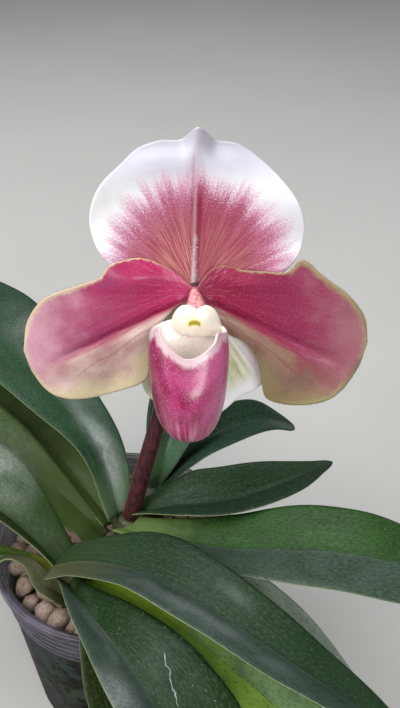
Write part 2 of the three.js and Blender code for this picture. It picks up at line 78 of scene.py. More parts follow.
def unit(vectors):
    return vectors / np.maximum(np.linalg.norm(vectors, axis=-1, keepdims=True), 1e-9)


def cubic(b, c, start, end, w):
    """The cubic from b to c that leaves b along start and meets c along end, at w from 0 to 1."""
    return b + start * w + (3 * (c - b) - 2 * start - end) * w**2 + (2 * (b - c) + start + end) * w**3


class Curve:
    """A smooth curve through points, read at shares of its length."""

    def __init__(self, points):
        self.points = np.array(points, float)
        steps = np.linspace(0, 1, 801)
        spots = self.at_knot(steps)
        lengths = np.linalg.norm(np.diff(spots, axis=0), axis=1)
        self.steps = steps
        self.shares = np.concatenate([[0], np.cumsum(lengths)]) / lengths.sum()
        self.length = lengths.sum()

    def at_knot(self, t):
        """The centripetal spline at knot value t, from 0 to 1."""
        p = self.points
        padded = np.vstack([2 * p[0] - p[1], p, 2 * p[-1] - p[-2]])
        place = np.clip(np.asarray(t, float), 0, 1) * (len(p) - 1)
        k = np.minimum(place.astype(int), len(p) - 2)
        w = (place - k)[..., None]
        a, b, c, d = (padded[k + i] for i in range(4))
        legs = (b - a, c - b, d - c)
        gap_1, gap_2, gap_3 = (np.linalg.norm(leg, axis=-1, keepdims=True) ** 0.5 for leg in legs)
        start = ((b - a) / gap_1 - (c - a) / (gap_1 + gap_2) + (c - b) / gap_2) * gap_2
        end = ((c - b) / gap_2 - (d - b) / (gap_2 + gap_3) + (d - c) / gap_3) * gap_2
        return cubic(b, c, start, end, w)

    def at(self, share):
        return self.at_knot(np.interp(share, self.shares, self.steps))

    def tangent(self, share):
        step = 0.002
        low, high = np.clip(share - step, 0, 1), np.clip(share + step, 0, 1)
        return unit(self.at(high) - self.at(low))


def outline_at(points, t):
    """A uniform spline through an outline's points, at t from 0 to 1."""
    p = np.array(points, float)
    place = np.clip(t, 0, 1) * (len(p) - 1)
    k = np.minimum(place.astype(int), len(p) - 2)
    w = (place - k)[..., None]
    a, b, c, d = p[np.maximum(k - 1, 0)], p[k], p[k + 1], p[np.minimum(k + 2, len(p) - 1)]
    return cubic(b, c, (c - a) / 2, (d - b) / 2, w)


# Meshes
def make_object(name, points, faces, materials, face_materials=None, maps=None):
    """A mesh object from points in millimetres. maps holds UV values for each point, by layer name."""
    mesh = bpy.data.meshes.new(name)
    mesh.from_pydata((np.asarray(points) * MM).tolist(), [], [list(map(int, f)) for f in faces])
    for material in materials:
        mesh.materials.append(material)
    if face_materials is not None:
        mesh.polygons.foreach_set("material_index", np.asarray(face_materials, dtype=np.int32))
    if maps:
        corner = np.zeros(len(mesh.loops), dtype=np.int32)
        mesh.loops.foreach_get("vertex_index", corner)
        for layer, values in maps.items():
            uv = mesh.uv_layers.new(name=layer)
            uv.data.foreach_set("uv", np.asarray(values, dtype=np.float32)[corner].ravel())
    mesh.polygons.foreach_set("use_smooth", np.full(len(mesh.polygons), True))
    mesh.update()
    piece = bpy.data.objects.new(name, mesh)
    bpy.context.scene.collection.objects.link(piece)
    return piece


def settle(piece, node=None):
    """Rides a piece on the plant's one body, in place of a node of the frame where one is named."""
    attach(piece, "root")
    if node:
        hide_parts(node)


def grid_faces(rows, columns, start=0, wrap=False):
    """Quads between rows of points; wrap closes each row on itself."""
    faces = []
    for i in range(rows - 1):
        for j in range(columns if wrap else columns - 1):
            a, b = i * columns + j, i * columns + (j + 1) % columns
            faces.append((start + a, start + b, start + b + columns, start + a + columns))
    return faces


def outward(piece):
    """Turns the faces of a closed piece to look out."""
    work = bmesh.new()
    work.from_mesh(piece.data)
    bmesh.ops.recalc_face_normals(work, faces=work.faces)
    work.to_mesh(piece.data)
    work.free()
    return piece


def blade(name, surface, steps, thickness, materials, maps, away=None):
    """A closed thin blade round surface(u, v), whose front, back and rim take the three materials. Its
    faces stand off the surface along its normal, or along the one direction away."""
    along, across = steps
    u, v = np.meshgrid(np.linspace(0, 1, along + 1), np.linspace(0, 1, across + 1), indexing="ij")
    step = 0.003
    du = surface(np.minimum(u + step, 1), v) - surface(np.maximum(u - step, 0), v)
    dv = surface(u, np.minimum(v + step, 1)) - surface(u, np.maximum(v - step, 0))
    normal = unit(np.cross(du, dv)) if away is None else np.asarray(away)
    middle = surface(u, v)
    half = (thickness(u, v) / 2)[..., None]
    front, back = (middle + normal * half).reshape(-1, 3), (middle - normal * half).reshape(-1, 3)
    rows, columns = along + 1, across + 1
    count = rows * columns
    front_faces = grid_faces(rows, columns)
    back_faces = [f[::-1] for f in grid_faces(rows, columns, count)]
    rim = list(range(across))
    rim += [i * columns + across for i in range(along)]
    rim += [along * columns + j for j in range(across, 0, -1)]
    rim += [i * columns for i in range(along, 0, -1)]
    rim_faces = [(b, a, a + count, b + count) for a, b in zip(rim, rim[1:] + rim[:1])]
    faces = front_faces + back_faces + rim_faces
    kinds = [0] * len(front_faces) + [1] * len(back_faces) + [2] * len(rim_faces)
    layers = {layer: np.tile(values(u, v).reshape(-1, 2), (2, 1)) for layer, values in maps.items()}
    return outward(make_object(name, np.vstack([front, back]), faces, materials, kinds, layers))


def all_round(count):
    """That many angles, evenly spaced round a whole turn."""
    return np.linspace(0, math.tau, count, endpoint=False)


def circle(radius, z, count, middle=(0, 0)):
    """Points round a level circle."""
    turns = all_round(count)
    x, y = middle[0] + radius * np.cos(turns), middle[1] + radius * np.sin(turns)
    return together(x, y, np.full(count, float(z)))


def capped(rings):
    """Points and faces of a solid through closed rings, closed at the middle of the first and last."""
    rings = np.asarray(rings)
    count, sides = rings.shape[:2]
    points = np.vstack([rings.reshape(-1, 3), rings[0].mean(axis=0), rings[-1].mean(axis=0)])
    faces = grid_faces(count, sides, wrap=True)
    first, last, tail = len(points) - 2, len(points) - 1, (count - 1) * sides
    for j in range(sides):
        faces.append((first, (j + 1) % sides, j))
        faces.append((last, tail + j, tail + (j + 1) % sides))
    return points, faces


def solid(name, rings, materials, maps=None):
    """A closed piece through rings."""
    return outward(make_object(name, *capped(rings), materials, maps=maps))


def tube_rings(curve, radius_at, steps, sides):
    """Rings round a curve, with a frame that doesn't twist."""
    shares = np.linspace(0, 1, steps + 1)
    spots, heads = curve.at(shares), curve.tangent(shares)
    side = unit(np.cross(heads[0], [0, 0, 1]) if abs(heads[0][2]) < 0.9 else np.cross(heads[0], [0, 1, 0]))
    angles = all_round(sides)
    rings = []
    for spot, head, share in zip(spots, heads, shares):
        side = unit(side - head * np.dot(side, head))
        other = np.cross(head, side)
        radius = radius_at(share)
        rings.append(spot + radius * (np.cos(angles)[:, None] * side + np.sin(angles)[:, None] * other))
    return rings


def hairs(name, roots, directions, lengths, radius, material):
    """Fine three-sided spikes, sunk a little into what they grow on, as one piece."""
    sunk = 0.2
    directions = unit(np.asarray(directions, float))
    helper = np.where(np.abs(directions[:, 2:3]) < 0.9, [[0, 0, 1]], [[0, 1, 0]])
    side = unit(np.cross(directions, helper))
    other = np.cross(directions, side)
    corners = []
    for k in range(3):
        turn = math.tau * k / 3
        out = math.cos(turn) * side + math.sin(turn) * other
        corners.append(roots - sunk * directions + radius * out)
    tips = roots + directions * np.asarray(lengths)[:, None]
    points = np.stack([*corners, tips], axis=1).reshape(-1, 3)
    faces = []
    for i in range(0, len(points), 4):
        faces += [(i, i + 1, i + 3), (i + 1, i + 2, i + 3), (i + 2, i, i + 3), (i, i + 2, i + 1)]
    return make_object(name, points, faces, [material])


# Materials
def tint(code):
    """A colour written as it looks on a screen, in linear light."""
    parts = [int(code[i : i + 2], 16) / 255 for i in (1, 3, 5)]
    return tuple(c / 12.92 if c <= 0.04045 else ((c + 0.055) / 1.055) ** 2.4 for c in parts) + (1,)


class Value:
    """What a node gives, with numbers worked out by + - * and /."""

    def __init__(self, look, socket):
        self.look = look
        self.socket = socket

    def __add__(self, other):
        return self.look.math("ADD", self, other)

    def __sub__(self, other):
        return self.look.math("SUBTRACT", self, other)

    def __mul__(self, other):
        return self.look.math("MULTIPLY", self, other)

    def __truediv__(self, other):
        return self.look.math("DIVIDE", self, other)


class Look:
    """A material whose nodes are added by short calls, each of which gives back a value. Constants are set
    on the shader's own sockets, with _ for each space in their names."""

    def __init__(self, name, **constants):
        self.material = bpy.data.materials.new(name)
        self.material.use_nodes = True
        self.tree = self.material.node_tree
        self.shader = self.tree.nodes["Principled BSDF"]
        for socket, value in constants.items():
            self.shader.inputs[socket.replace("_", " ")].default_value = value

    def feed(self, socket, value):
        if isinstance(value, Value):
            self.tree.links.new(value.socket, socket)
        else:
            socket.default_value = tint(value) if isinstance(value, str) else value

    def node(self, kind, sockets, give=0, **settings):
        """Adds a node, feeds the sockets that are named or numbered, and gives back one of its outputs."""
        made = self.tree.nodes.new(kind)
        for key, value in settings.items():
            setattr(made, key, value)
        for socket, value in sockets.items():
            self.feed(made.inputs[socket], value)
        return Value(self, made.outputs[give])

    def math(self, operation, *values):
        return self.node("ShaderNodeMath", dict(enumerate(values)), operation=operation)

    def uv(self, layer):
        return self.node("ShaderNodeUVMap", {}, uv_map=layer)

    def place(self):
        return self.node("ShaderNodeTexCoord", {}, "Object")

    def join(self, x, y):
        return self.node("ShaderNodeCombineXYZ", {0: x, 1: y})

    def split(self, vector):
        """The three coordinates of a vector."""
        first = self.node("ShaderNodeSeparateXYZ", {0: vector})
        return [Value(self, socket) for socket in first.socket.node.outputs]

    def noise(self, vector, scale, detail=2):
        return self.node("ShaderNodeTexNoise", {"Vector": vector, "Scale": scale, "Detail": detail}, "Fac")

    def stretched(self, vector, factors, scale, detail):
        """Noise with each axis shortened by its own factor, so that its grain runs along the smallest."""
        scaled = self.node("ShaderNodeVectorMath", {0: vector, 1: factors}, operation="MULTIPLY")
        return self.noise(scaled, scale, detail)

    def cells(self, vector, scale):
        return self.node("ShaderNodeTexVoronoi", {"Vector": vector, "Scale": scale}, "Distance")

    def ramp(self, value, low, high, bottom=0, top=1):
        """bottom where value is up to low, rising smoothly to top at high."""
        sockets = dict(enumerate((value, low, high, bottom, top)))
        return self.node("ShaderNodeMapRange", sockets, interpolation_type="SMOOTHSTEP")

    def fade(self, value, low, high, top=1):
        """top where value is up to low, falling smoothly to 0 at high."""
        return self.ramp(value, low, high, top, 0)

    def near(self, value, middle, width):
        """1 where value is at middle, falling to 0 at width from it."""
        return self.fade(self.math("ABSOLUTE", value - middle), 0, width)

    def sway(self, noise_value, reach):
        """Noise as a shift by up to reach either way."""
        return self.ramp(noise_value, 0.3, 0.7, -reach, reach)

    def patches(self, vector, scale, detail, low, high, top=1):
        """Noise of that scale and detail, 0 up to low and top from high on."""
        return self.ramp(self.noise(vector, scale, detail), low, high, 0, top)

    def mix(self, share, a, b):
        """The colour a, turning to b as the share rises."""
        return self.node("ShaderNodeMix", {0: share, 6: a, 7: b}, 2, data_type="RGBA")

    def colour(self, value):
        self.feed(self.shader.inputs["Base Color"], value)

    def roughness(self, noise_value, smoothest, roughest, low=0.3, high=0.7):
        self.feed(self.shader.inputs["Roughness"], self.ramp(noise_value, low, high, smoothest, roughest))

    def relief(self, height, distance, strength):
        """Bump whose full height is distance, in millimetres."""
        sockets = {"Strength": strength, "Distance": distance * MM, "Height": height}
        self.feed(self.shader.inputs["Normal"], self.node("ShaderNodeBump", sockets))


def mottled(name, low, high, scale, detail=2, layer=None, **constants):
    """A look of two colours mixed by noise, which is laid out by a UV layer or the object's own place."""
    look = Look(name, **constants)
    look.colour(look.mix(look.noise(look.uv(layer) if layer else look.place(), scale, detail), low, high))
    return look.material


def hair_look(name, colour, glint="#b08a80"):
    look = Look(name, Roughness=0.5)
    fleck = look.noise(look.place(), 900)
    look.colour(look.mix(look.ramp(fleck, 0.4, 0.75), colour, glint))
    return look.material


# Camera, floor and light
def make_camera():
    data = bpy.data.cameras.new("camera")
    data.lens = CAMERA["lens"]
    data.sensor_width = CAMERA["sensor"]
    data.clip_start = 0.01
    camera = bpy.data.objects.new("camera", data)
    camera.location = [c * MM for c in CAMERA["at"]]
    camera.rotation_euler = (math.radians(90 - CAMERA["pitch"]), 0, 0)
    bpy.context.scene.collection.objects.link(camera)
    bpy.context.scene.camera = camera


def make_floor():
    reach = 3000
    points = [(-reach, -reach, 0), (reach, -reach, 0), (reach, reach, 0), (-reach, reach, 0)]
    look = mottled("floor", "#b0aeaa", "#b8b6b2", 6, Roughness=0.8)
    make_object("floor", points, [(0, 1, 2, 3)], [look])


def soft_light(name, at, aim, size, watts, colour=(1, 1, 1)):
    data = bpy.data.lights.new(name, "AREA")
    data.shape = "RECTANGLE"
    data.size, data.size_y = size[0] * MM, size[1] * MM
    data.energy = watts
    data.color = colour
    light = bpy.data.objects.new(name, data)
    place, target = np.array(at, float), np.array(aim, float)
    back = unit(place - target)
    side = unit(np.cross([0, 0, 1], back))
    lift = np.cross(back, side)
    turn = Matrix([[side[i], lift[i], back[i]] for i in range(3)])
    light.matrix_world = Matrix.Translation((place * MM).tolist()) @ turn.to_4x4()
    bpy.context.scene.collection.objects.link(light)


def make_lights():
    aim = (30, 0, 130)
    soft_light("sky_panel", (-250, 250, 1250), aim, (1300, 900), 17, (0.95, 0.98, 1))
    soft_light("key_panel", (-700, -450, 900), aim, (600, 600), 9)
    soft_light("front_panel", (320, -950, 680), aim, (420, 360), 5.8)
    world = bpy.data.worlds.new("studio")
    world.use_nodes = True
    backdrop = world.node_tree.nodes["Background"]
    backdrop.inputs["Color"].default_value = (0.86, 0.89, 0.93, 1)
    backdrop.inputs["Strength"].default_value = 0.2
    bpy.context.scene.world = world
    bpy.context.scene.view_settings.view_transform = "Standard"


# Pot
def wall_radius(z):
    return lerp(POT["base"], POT["rim"] - 2, z / POT["height"])


def pot_profile():
    """The pot's section, from the middle of the underside up the outside, over the rim and down the
    inside."""
    height, rim, base, wall, floor = (POT[k] for k in ("height", "rim", "base", "wall", "floor"))
    axis, raised, steps = 0.01, 0.6, 6
    profile = [(axis, raised), (base - 6, raised), (base - 4.4, 0), (base - 1, 0), (wall_radius(1.2), 1.2)]
    profile += [(wall_radius(z), z) for z in np.linspace(6, BAND_FOOT - 1, 12)]
    for i in range(POT["ribs"] * steps):
        z = BAND_FOOT + RIB_PITCH * i / steps
        profile.append((wall_radius(z) + 0.35 + 0.4 * max(0, math.sin(math.tau * i / steps)), z))
    lip = height - 4
    profile += [(rim - 1, lip - 0.4), (rim - 0.3, lip), (rim, lip + 0.8), (rim, height - 0.9)]
    profile += [(rim - 0.5, height - 0.2), (rim - 1.2, height), (rim - 2, height - 0.3)]
    profile += [(wall_radius(height - 3) - wall, height - 3)]
    profile += [(wall_radius(z) - wall, z) for z in np.linspace(height - 8, floor + 2, 12)]
    return [*profile, (wall_radius(floor) - wall - 1.5, floor), (axis, floor)]


def wall_look():
    """Clear plastic, dark with wet grains and algae behind it, mottled in green and black."""
    look = Look("pot_wall", Alpha=0.88, IOR=1.49, Specular_IOR_Level=0.05)
    spot = look.place()
    mottle = look.noise(spot, 95, 5)
    body = look.mix(look.ramp(mottle, 0.42, 0.62), "#0b0c09", "#323f38")
    body = look.mix(look.patches(spot, 150, 5, 0.52, 0.66, 0.7), body, "#3a3b17")
    body = look.mix(look.patches(spot, 260, 4, 0.5, 0.64, 0.8), body, "#0d0b0e")
    body = look.mix(look.patches(spot, 60, 3, 0.56, 0.7, 0.45), body, "#3c3a4a")
    look.colour(body)
    look.roughness(mottle, 0.4, 0.6)
    look.relief(mottle, 0.06, 0.5)
    return look.material


def band_look():
    """The ribbed band under the rim: hazy mauve-grey plastic, with a pale painted highlight on each rib."""
    look = Look("pot_band", Alpha=0.72, IOR=1.49, Specular_IOR_Level=0.35)
    spot = look.place()
    haze = look.noise(spot, 90, 4)
    above_foot = look.split(spot)[2] - BAND_FOOT * MM
    turn = above_foot * math.tau / (RIB_PITCH * MM)
    # Painted highlight: a pale line along each rib.
    line = look.ramp(look.math("SINE", turn), 0.8, 1, 0, 0.6)
    body = look.mix(look.ramp(haze, 0.35, 0.7), "#2c2830", "#524e5e")
    look.colour(look.mix(line, body, "#a08d9a"))
    look.roughness(haze, 0.2, 0.42)
    return look.material


def cut_drains(pot):
    for i in range(DRAINS["count"]):
        turn = math.tau * i / DRAINS["count"]
        middle = (DRAINS["from_middle"] * math.cos(turn), DRAINS["from_middle"] * math.sin(turn))
        rings = [circle(DRAINS["radius"], z, 32, middle) for z in (-2, POT["floor"] + 2)]
        cutter = solid("drain_cutter", rings, [])
        cut = pot.modifiers.new("drain", "BOOLEAN")
        cut.operation = "DIFFERENCE"
        cut.solver = "EXACT"
        cut.object = cutter
        bpy.context.view_layer.objects.active = pot
        bpy.ops.object.modifier_apply(modifier="drain")
        bpy.data.objects.remove(cutter)


def make_pot():
    profile = pot_profile()
    sides = 128
    points = np.vstack([circle(radius, z, sides) for radius, z in profile])
    faces = grid_faces(len(profile), sides, wrap=True)
    tail = (len(profile) - 1) * sides
    faces += [tuple(range(sides))[::-1], tuple(tail + j for j in range(sides))]
    kinds = [1 if points[list(face), 2].mean() > BAND_FOOT - 1 else 0 for face in faces]
    pot = outward(make_object("pot_shell", points, faces, [wall_look(), band_look()], kinds))
    cut_drains(pot)
    settle(pot, "pot")


# Pumice
def seeded(seed):
    """Numbers from 0 to 1 that are the same on each run."""
    factor, modulus = 16807, 2147483647
    state = seed
    while True:
        state = (state * factor) % modulus
        yield state / modulus


def ball(detail):
    """The points and triangles of a ball of radius 1."""
    work = bmesh.new()
    bmesh.ops.create_icosphere(work, subdivisions=detail, radius=1)
    points = np.array([v.co[:] for v in work.verts])
    faces = [[v.index for v in f.verts] for f in work.faces]
    work.free()
    return points, faces


def stone_look(name, pale, warm, dark, algae):
    """Gritty stone with small dark pits and green growth on it, which spreads as algae rises."""
    look = Look(name, Specular_IOR_Level=0.25)
    spot = look.place()
    grit = look.noise(spot, 900, 3)
    pits = look.cells(spot, 1300)
    body = look.mix(look.patches(spot, 110, 3, 0.4, 0.62), pale, warm)
    body = look.mix(look.ramp(grit, 0.5, 0.75, 0, 0.5), body, dark)
    body = look.mix(look.patches(spot, 55, 4, 0.7 - algae, 0.86 - algae, 0.85), body, "#5c6136")
    body = look.mix(look.patches(spot, 420, 2, 0.64, 0.7, 0.6), body, "#8a8636")
    body = look.mix(look.fade(pits, 0, 0.3, 0.55), body, "#4a3b30")
    look.colour(body)
    look.roughness(grit, 0.75, 0.98, 0.2, 0.8)
    look.relief(grit * 0.6 + look.ramp(pits, 0, 0.4), 0.5, 0.8)
    return look.material


def pebbles(name, grains, detail, look):
    """Rounded knobbly grains, each a ball pushed in and out by a few flat facets and smooth noise. A grain
    is its middle, its radius and its turns about X and Z."""
    shape, triangles = ball(detail)
    points, faces = [], []
    facets, knob_size, knob_height, proportions = 7, 2.2, 0.14, [1.12, 1, 0.88]
    for k, (spot, radius, turn) in enumerate(grains):
        draw = seeded(97 + 31 * k)
        swell = np.ones(len(shape))
        for _ in range(facets):
            axis = unit(np.array([next(draw) - 0.5, next(draw) - 0.5, next(draw) - 0.5]))
            cut = lerp(0.72, 0.95, next(draw))
            reach = shape @ axis
            swell = np.minimum(swell, np.where(reach > cut * 0.95, cut / np.maximum(reach, 0.01), swell))
        rough = np.array([noise.noise((p * knob_size + k * 7.3).tolist()) for p in shape])
        body = shape * (swell * (1 + knob_height * rough))[:, None] * proportions
        turned = body @ np.array(Matrix.Rotation(turn[0], 3, "X") @ Matrix.Rotation(turn[1], 3, "Z"))
        start = len(points) * len(shape)
        points.append(turned * radius + spot)
        faces += [[start + i for i in f] for f in triangles]
    return make_object(name, np.vstack(points), faces, [look])


GOLDEN_ANGLE = math.pi * (3 - math.sqrt(5))
# The grains spread over the top, large ones and then small ones between them: how many, their radii, how
# far they stay from the wall, where their spiral starts, and how their middles lie about the filling's
# height
TOP_GRAINS = [
    dict(count=46, radii=(3.948, 5.64), inset=6.6, start=0, sunk=0.8, spread=2),
    dict(count=60, radii=(2.6, 4.2), inset=5.6, start=1, sunk=1, spread=3),
]
RIM_GRAINS = {"count": 30, "radii": (3.4, 5), "spread": 3}
WALL_GRAINS = {"rows": 9, "in_row": 24, "radii": (3.6, 5.2)}


def fill_radius(z):
    """How far the filling reaches from the pot's axis at height z."""
    return wall_radius(z) - POT["wall"] - 0.5


def any_turn(draw):
    return 6 * next(draw), 6 * next(draw)


def top_grains(draw):
    grains = []
    for layer in TOP_GRAINS:
        reach = fill_radius(FILL_HEIGHT) - layer["inset"]
        for i in range(layer["count"]):
            radius, turn = lerp(*layer["radii"], next(draw)), any_turn(draw)
            out = reach * math.sqrt((i + 0.5) / layer["count"])
            angle = i * GOLDEN_ANGLE + layer["start"]
            z = FILL_HEIGHT - layer["sunk"] + layer["spread"] * next(draw)
            grains.append(((out * math.cos(angle), out * math.sin(angle), z), radius, turn))
    return grains


def rim_grains(draw):
    """A ring of grains on top, against the wall."""
    grains = []
    count = RIM_GRAINS["count"]
    for i in range(count):
        radius = lerp(*RIM_GRAINS["radii"], next(draw))
        z = FILL_HEIGHT + RIM_GRAINS["spread"] * next(draw)
        angle = math.tau * (i + 0.5 * next(draw)) / count
        out = fill_radius(z - radius) - 1.05 * radius
        grains.append(((out * math.cos(angle), out * math.sin(angle), z), radius, any_turn(draw)))
    return grains


def wall_grains(draw):
    """Rows of grains behind the wall, from the floor up."""
    grains = []
    rows, in_row = WALL_GRAINS["rows"], WALL_GRAINS["in_row"]
    for row in range(rows):
        level = lerp(POT["floor"] + 5.5, FILL_HEIGHT - 5, row / (rows - 1))
        for i in range(in_row):
            radius = lerp(*WALL_GRAINS["radii"], next(draw))
            angle = math.tau * (i + 0.5 * (row % 2) + 0.3 * next(draw)) / in_row
            out = fill_radius(level - radius) - radius * 1.04
            turn = any_turn(draw)
            spot = (out * math.cos(angle), out * math.sin(angle), level + next(draw) - 0.5)
            grains.append((spot, radius, turn))
    return grains


def pumice_core():
    """What fills the pot behind the grains: dusty roots, and painted shade between the grains."""
    # Near-black mottle: partly dusty roots, partly painted shade seen between the grains.
    look = mottled("roots_dust_and_shade", "#15150f", "#4b4638", 160, 4, Roughness=0.95)
    floor = POT["floor"]
    levels = [(floor + 0.6, 6), (floor + 3, 4.2), (FILL_HEIGHT - 2, 3.6), (FILL_HEIGHT - 1.5, 6)]
    rings = [circle(fill_radius(z) - inset, z, 64) for z, inset in levels]
    return solid("pumice_core", rings, [look])


def make_pumice():
    draw = seeded(11)
    dry = stone_look("pumice", "#a38c85", "#988574", "#62534b", 0)
    settle(pebbles("pumice_top", top_grains(draw) + rim_grains(draw), 3, dry), "pumice")
    wet = stone_look("pumice_wet", "#5d5a4a", "#4c4a3a", "#24241c", 0.28)
    settle(pebbles("pumice_side", wall_grains(draw), 2, wet))
    settle(pumice_core())


# What drives each leaf's shape, as in the part's source: its width, the share of it at the foot, how far
# along it is widest and how late it tapers; how far its halves fold up at the foot, at 0.3 of its length
# and at the tip, and how it rolls from foot to tip, in degrees; where a half has a width of its own, its
# share at the foot and at the tip; and points that its middle runs through.
LEAVES = {
    "leaf_front_1": dict(
        width=38, foot=0.55, widest=0.3, taper=1.2, fold=(12, 42, 28), roll=(-2, -8),
        left=(0.78, 1), right=(0.62, 1.34),
        path=[
            (-19, -24, 92), (-8, -27.5, 99), (12, -37, 106), (35, -54, 110), (58, -69, 106), (84, -81, 94),
            (112, -96, 78),
        ],
    ),
    "leaf_front_2": dict(
        width=38, foot=0.4, widest=0.6, taper=3, fold=(64, 46, 34), roll=(0, -16),
        left=(0.58, 1.38), right=(0.6, 1),
        path=[(-14, -28, 88), (-7, -42, 96), (5, -60, 102), (20, -81, 100), (42, -112, 86)],
    ),
    "leaf_front_5": dict(
        width=43, foot=0.4, widest=0.4, taper=2.4, fold=(56, 40, 26), roll=(0, 4),
        left=(0.3, 0.15),
        path=[(-15, -24, 86), (-25, -19.5, 99), (-44, -13, 115), (-80, 0, 118), (-124, 18, 106)],
    ),
    "leaf_flowering_4": dict(
        width=36, foot=0.36, widest=0.55, taper=3, fold=(55, 28, -4), roll=(0, 0),
        path=[(4, -5, 90), (22, -16, 97), (44, -26, 104), (76, -33, 111), (102, -37, 109), (138, -37, 96)],
    ),
    "leaf_flowering_1": dict(
        width=42, foot=0.36, widest=0.62, taper=3, fold=(50, 20, 12), roll=(0, 0),
        path=[(2, 1, 93), (-5, 12, 116), (-24, 31, 129), (-55, 70, 133), (-98, 122, 125)],
    ),
    "leaf_flowering_5": dict(
        width=28, foot=0.36, widest=0.35, taper=2.2, fold=(55, 46, 16), roll=(0, 0),
        path=[(9, -1, 95), (24, -4, 101), (44, -5, 106), (64, 0, 110), (83, 9, 112)],
    ),
    "leaf_flowering_2": dict(
        width=40, foot=0.46, widest=0.5, taper=2.4, fold=(32, 24, 14), roll=(-10, -8),
        right=(0.3, 1.8),
        path=[(-3, -5, 87), (-12, -1, 95), (-25, 5, 104), (-45, 16, 109), (-80, 31, 110), (-124, 52, 99)],
    ),
    "leaf_front_3": dict(
        width=34, foot=0.36, widest=0.4, taper=2, fold=(40, 14, 10), roll=(0, 0),
        path=[(-11, -25, 87), (8, -36, 93), (33, -57, 95), (59, -78, 89), (82, -100, 76)],
    ),
    "leaf_flowering_3": dict(
        width=34, foot=0.36, widest=0.5, taper=2, fold=(50, 18, 12), roll=(0, 0),
        path=[(-1, 0, 88), (-15, 14, 97), (-39, 39, 102), (-66, 63, 100), (-99, 96, 88)],
    ),
    "leaf_flowering_6": dict(
        width=34, foot=0.36, widest=0.5, taper=2, fold=(40, 10, 6), roll=(0, 0), left=(1, 0.6),
        path=[(6, -5, 86), (25, -22, 90), (48, -38, 89), (71, -52, 80), (96, -66, 62)],
    ),
    "leaf_front_4": dict(
        width=28, foot=0.36, widest=0.5, taper=2, fold=(50, 22, 14), roll=(0, 0),
        path=[(-11, -30, 85), (0, -45, 85), (11, -66, 76), (23, -92, 56)],
    ),
    "leaf_front_7": dict(
        width=13, foot=0.9, widest=0.1, taper=0.6, fold=(30, 24, 20), roll=(0, 0),
        path=[(-15, -29, 82), (-22.5, -27, 86.5), (-29, -20.5, 90), (-37, -17, 89), (-45, -18, 84)],
    ),
    "leaf_front_6": dict(
        width=5, foot=0.9, widest=0.4, taper=2, fold=(40, 24, 12), roll=(0, 0),
        path=[(-17, -23, 82), (-28, -15, 84), (-49, -9, 84), (-72, -2, 75)],
    ),
    "leaf_rear_2": dict(
        width=26, foot=0.36, widest=0.4, taper=2, fold=(55, 36, 25), roll=(0, 16),
        path=[(16, 15, 90), (20, 21, 106), (26, 40, 119), (28, 66, 119), (28, 90, 108)],
    ),
    "leaf_rear_1": dict(
        width=24, foot=0.36, widest=0.3, taper=8, fold=(50, 38, 10), roll=(0, 0),
        path=[(14, 13, 90), (26, 21, 102), (41, 31, 106), (58, 42, 104.5), (73, 50, 95)],
    ),
}
BRACTS = {
    "bract": dict(
        width=11, foot=0.7, widest=0.35, taper=1.8, fold=(50, 40, 20), roll=(0, 0),
        path=[(25.2, 16.8, 157), (27.8, 21.2, 167), (30.6, 26.8, 178), (33, 33, 188)],
    ),
    "stem_sheath": dict(
        width=8, foot=0.7, widest=0.35, taper=2, fold=(50, 40, 20), roll=(0, 0),
        path=[(8.4, 3.7, 98), (10.6, 6.7, 105), (12.2, 8.8, 113)],
    ),
}
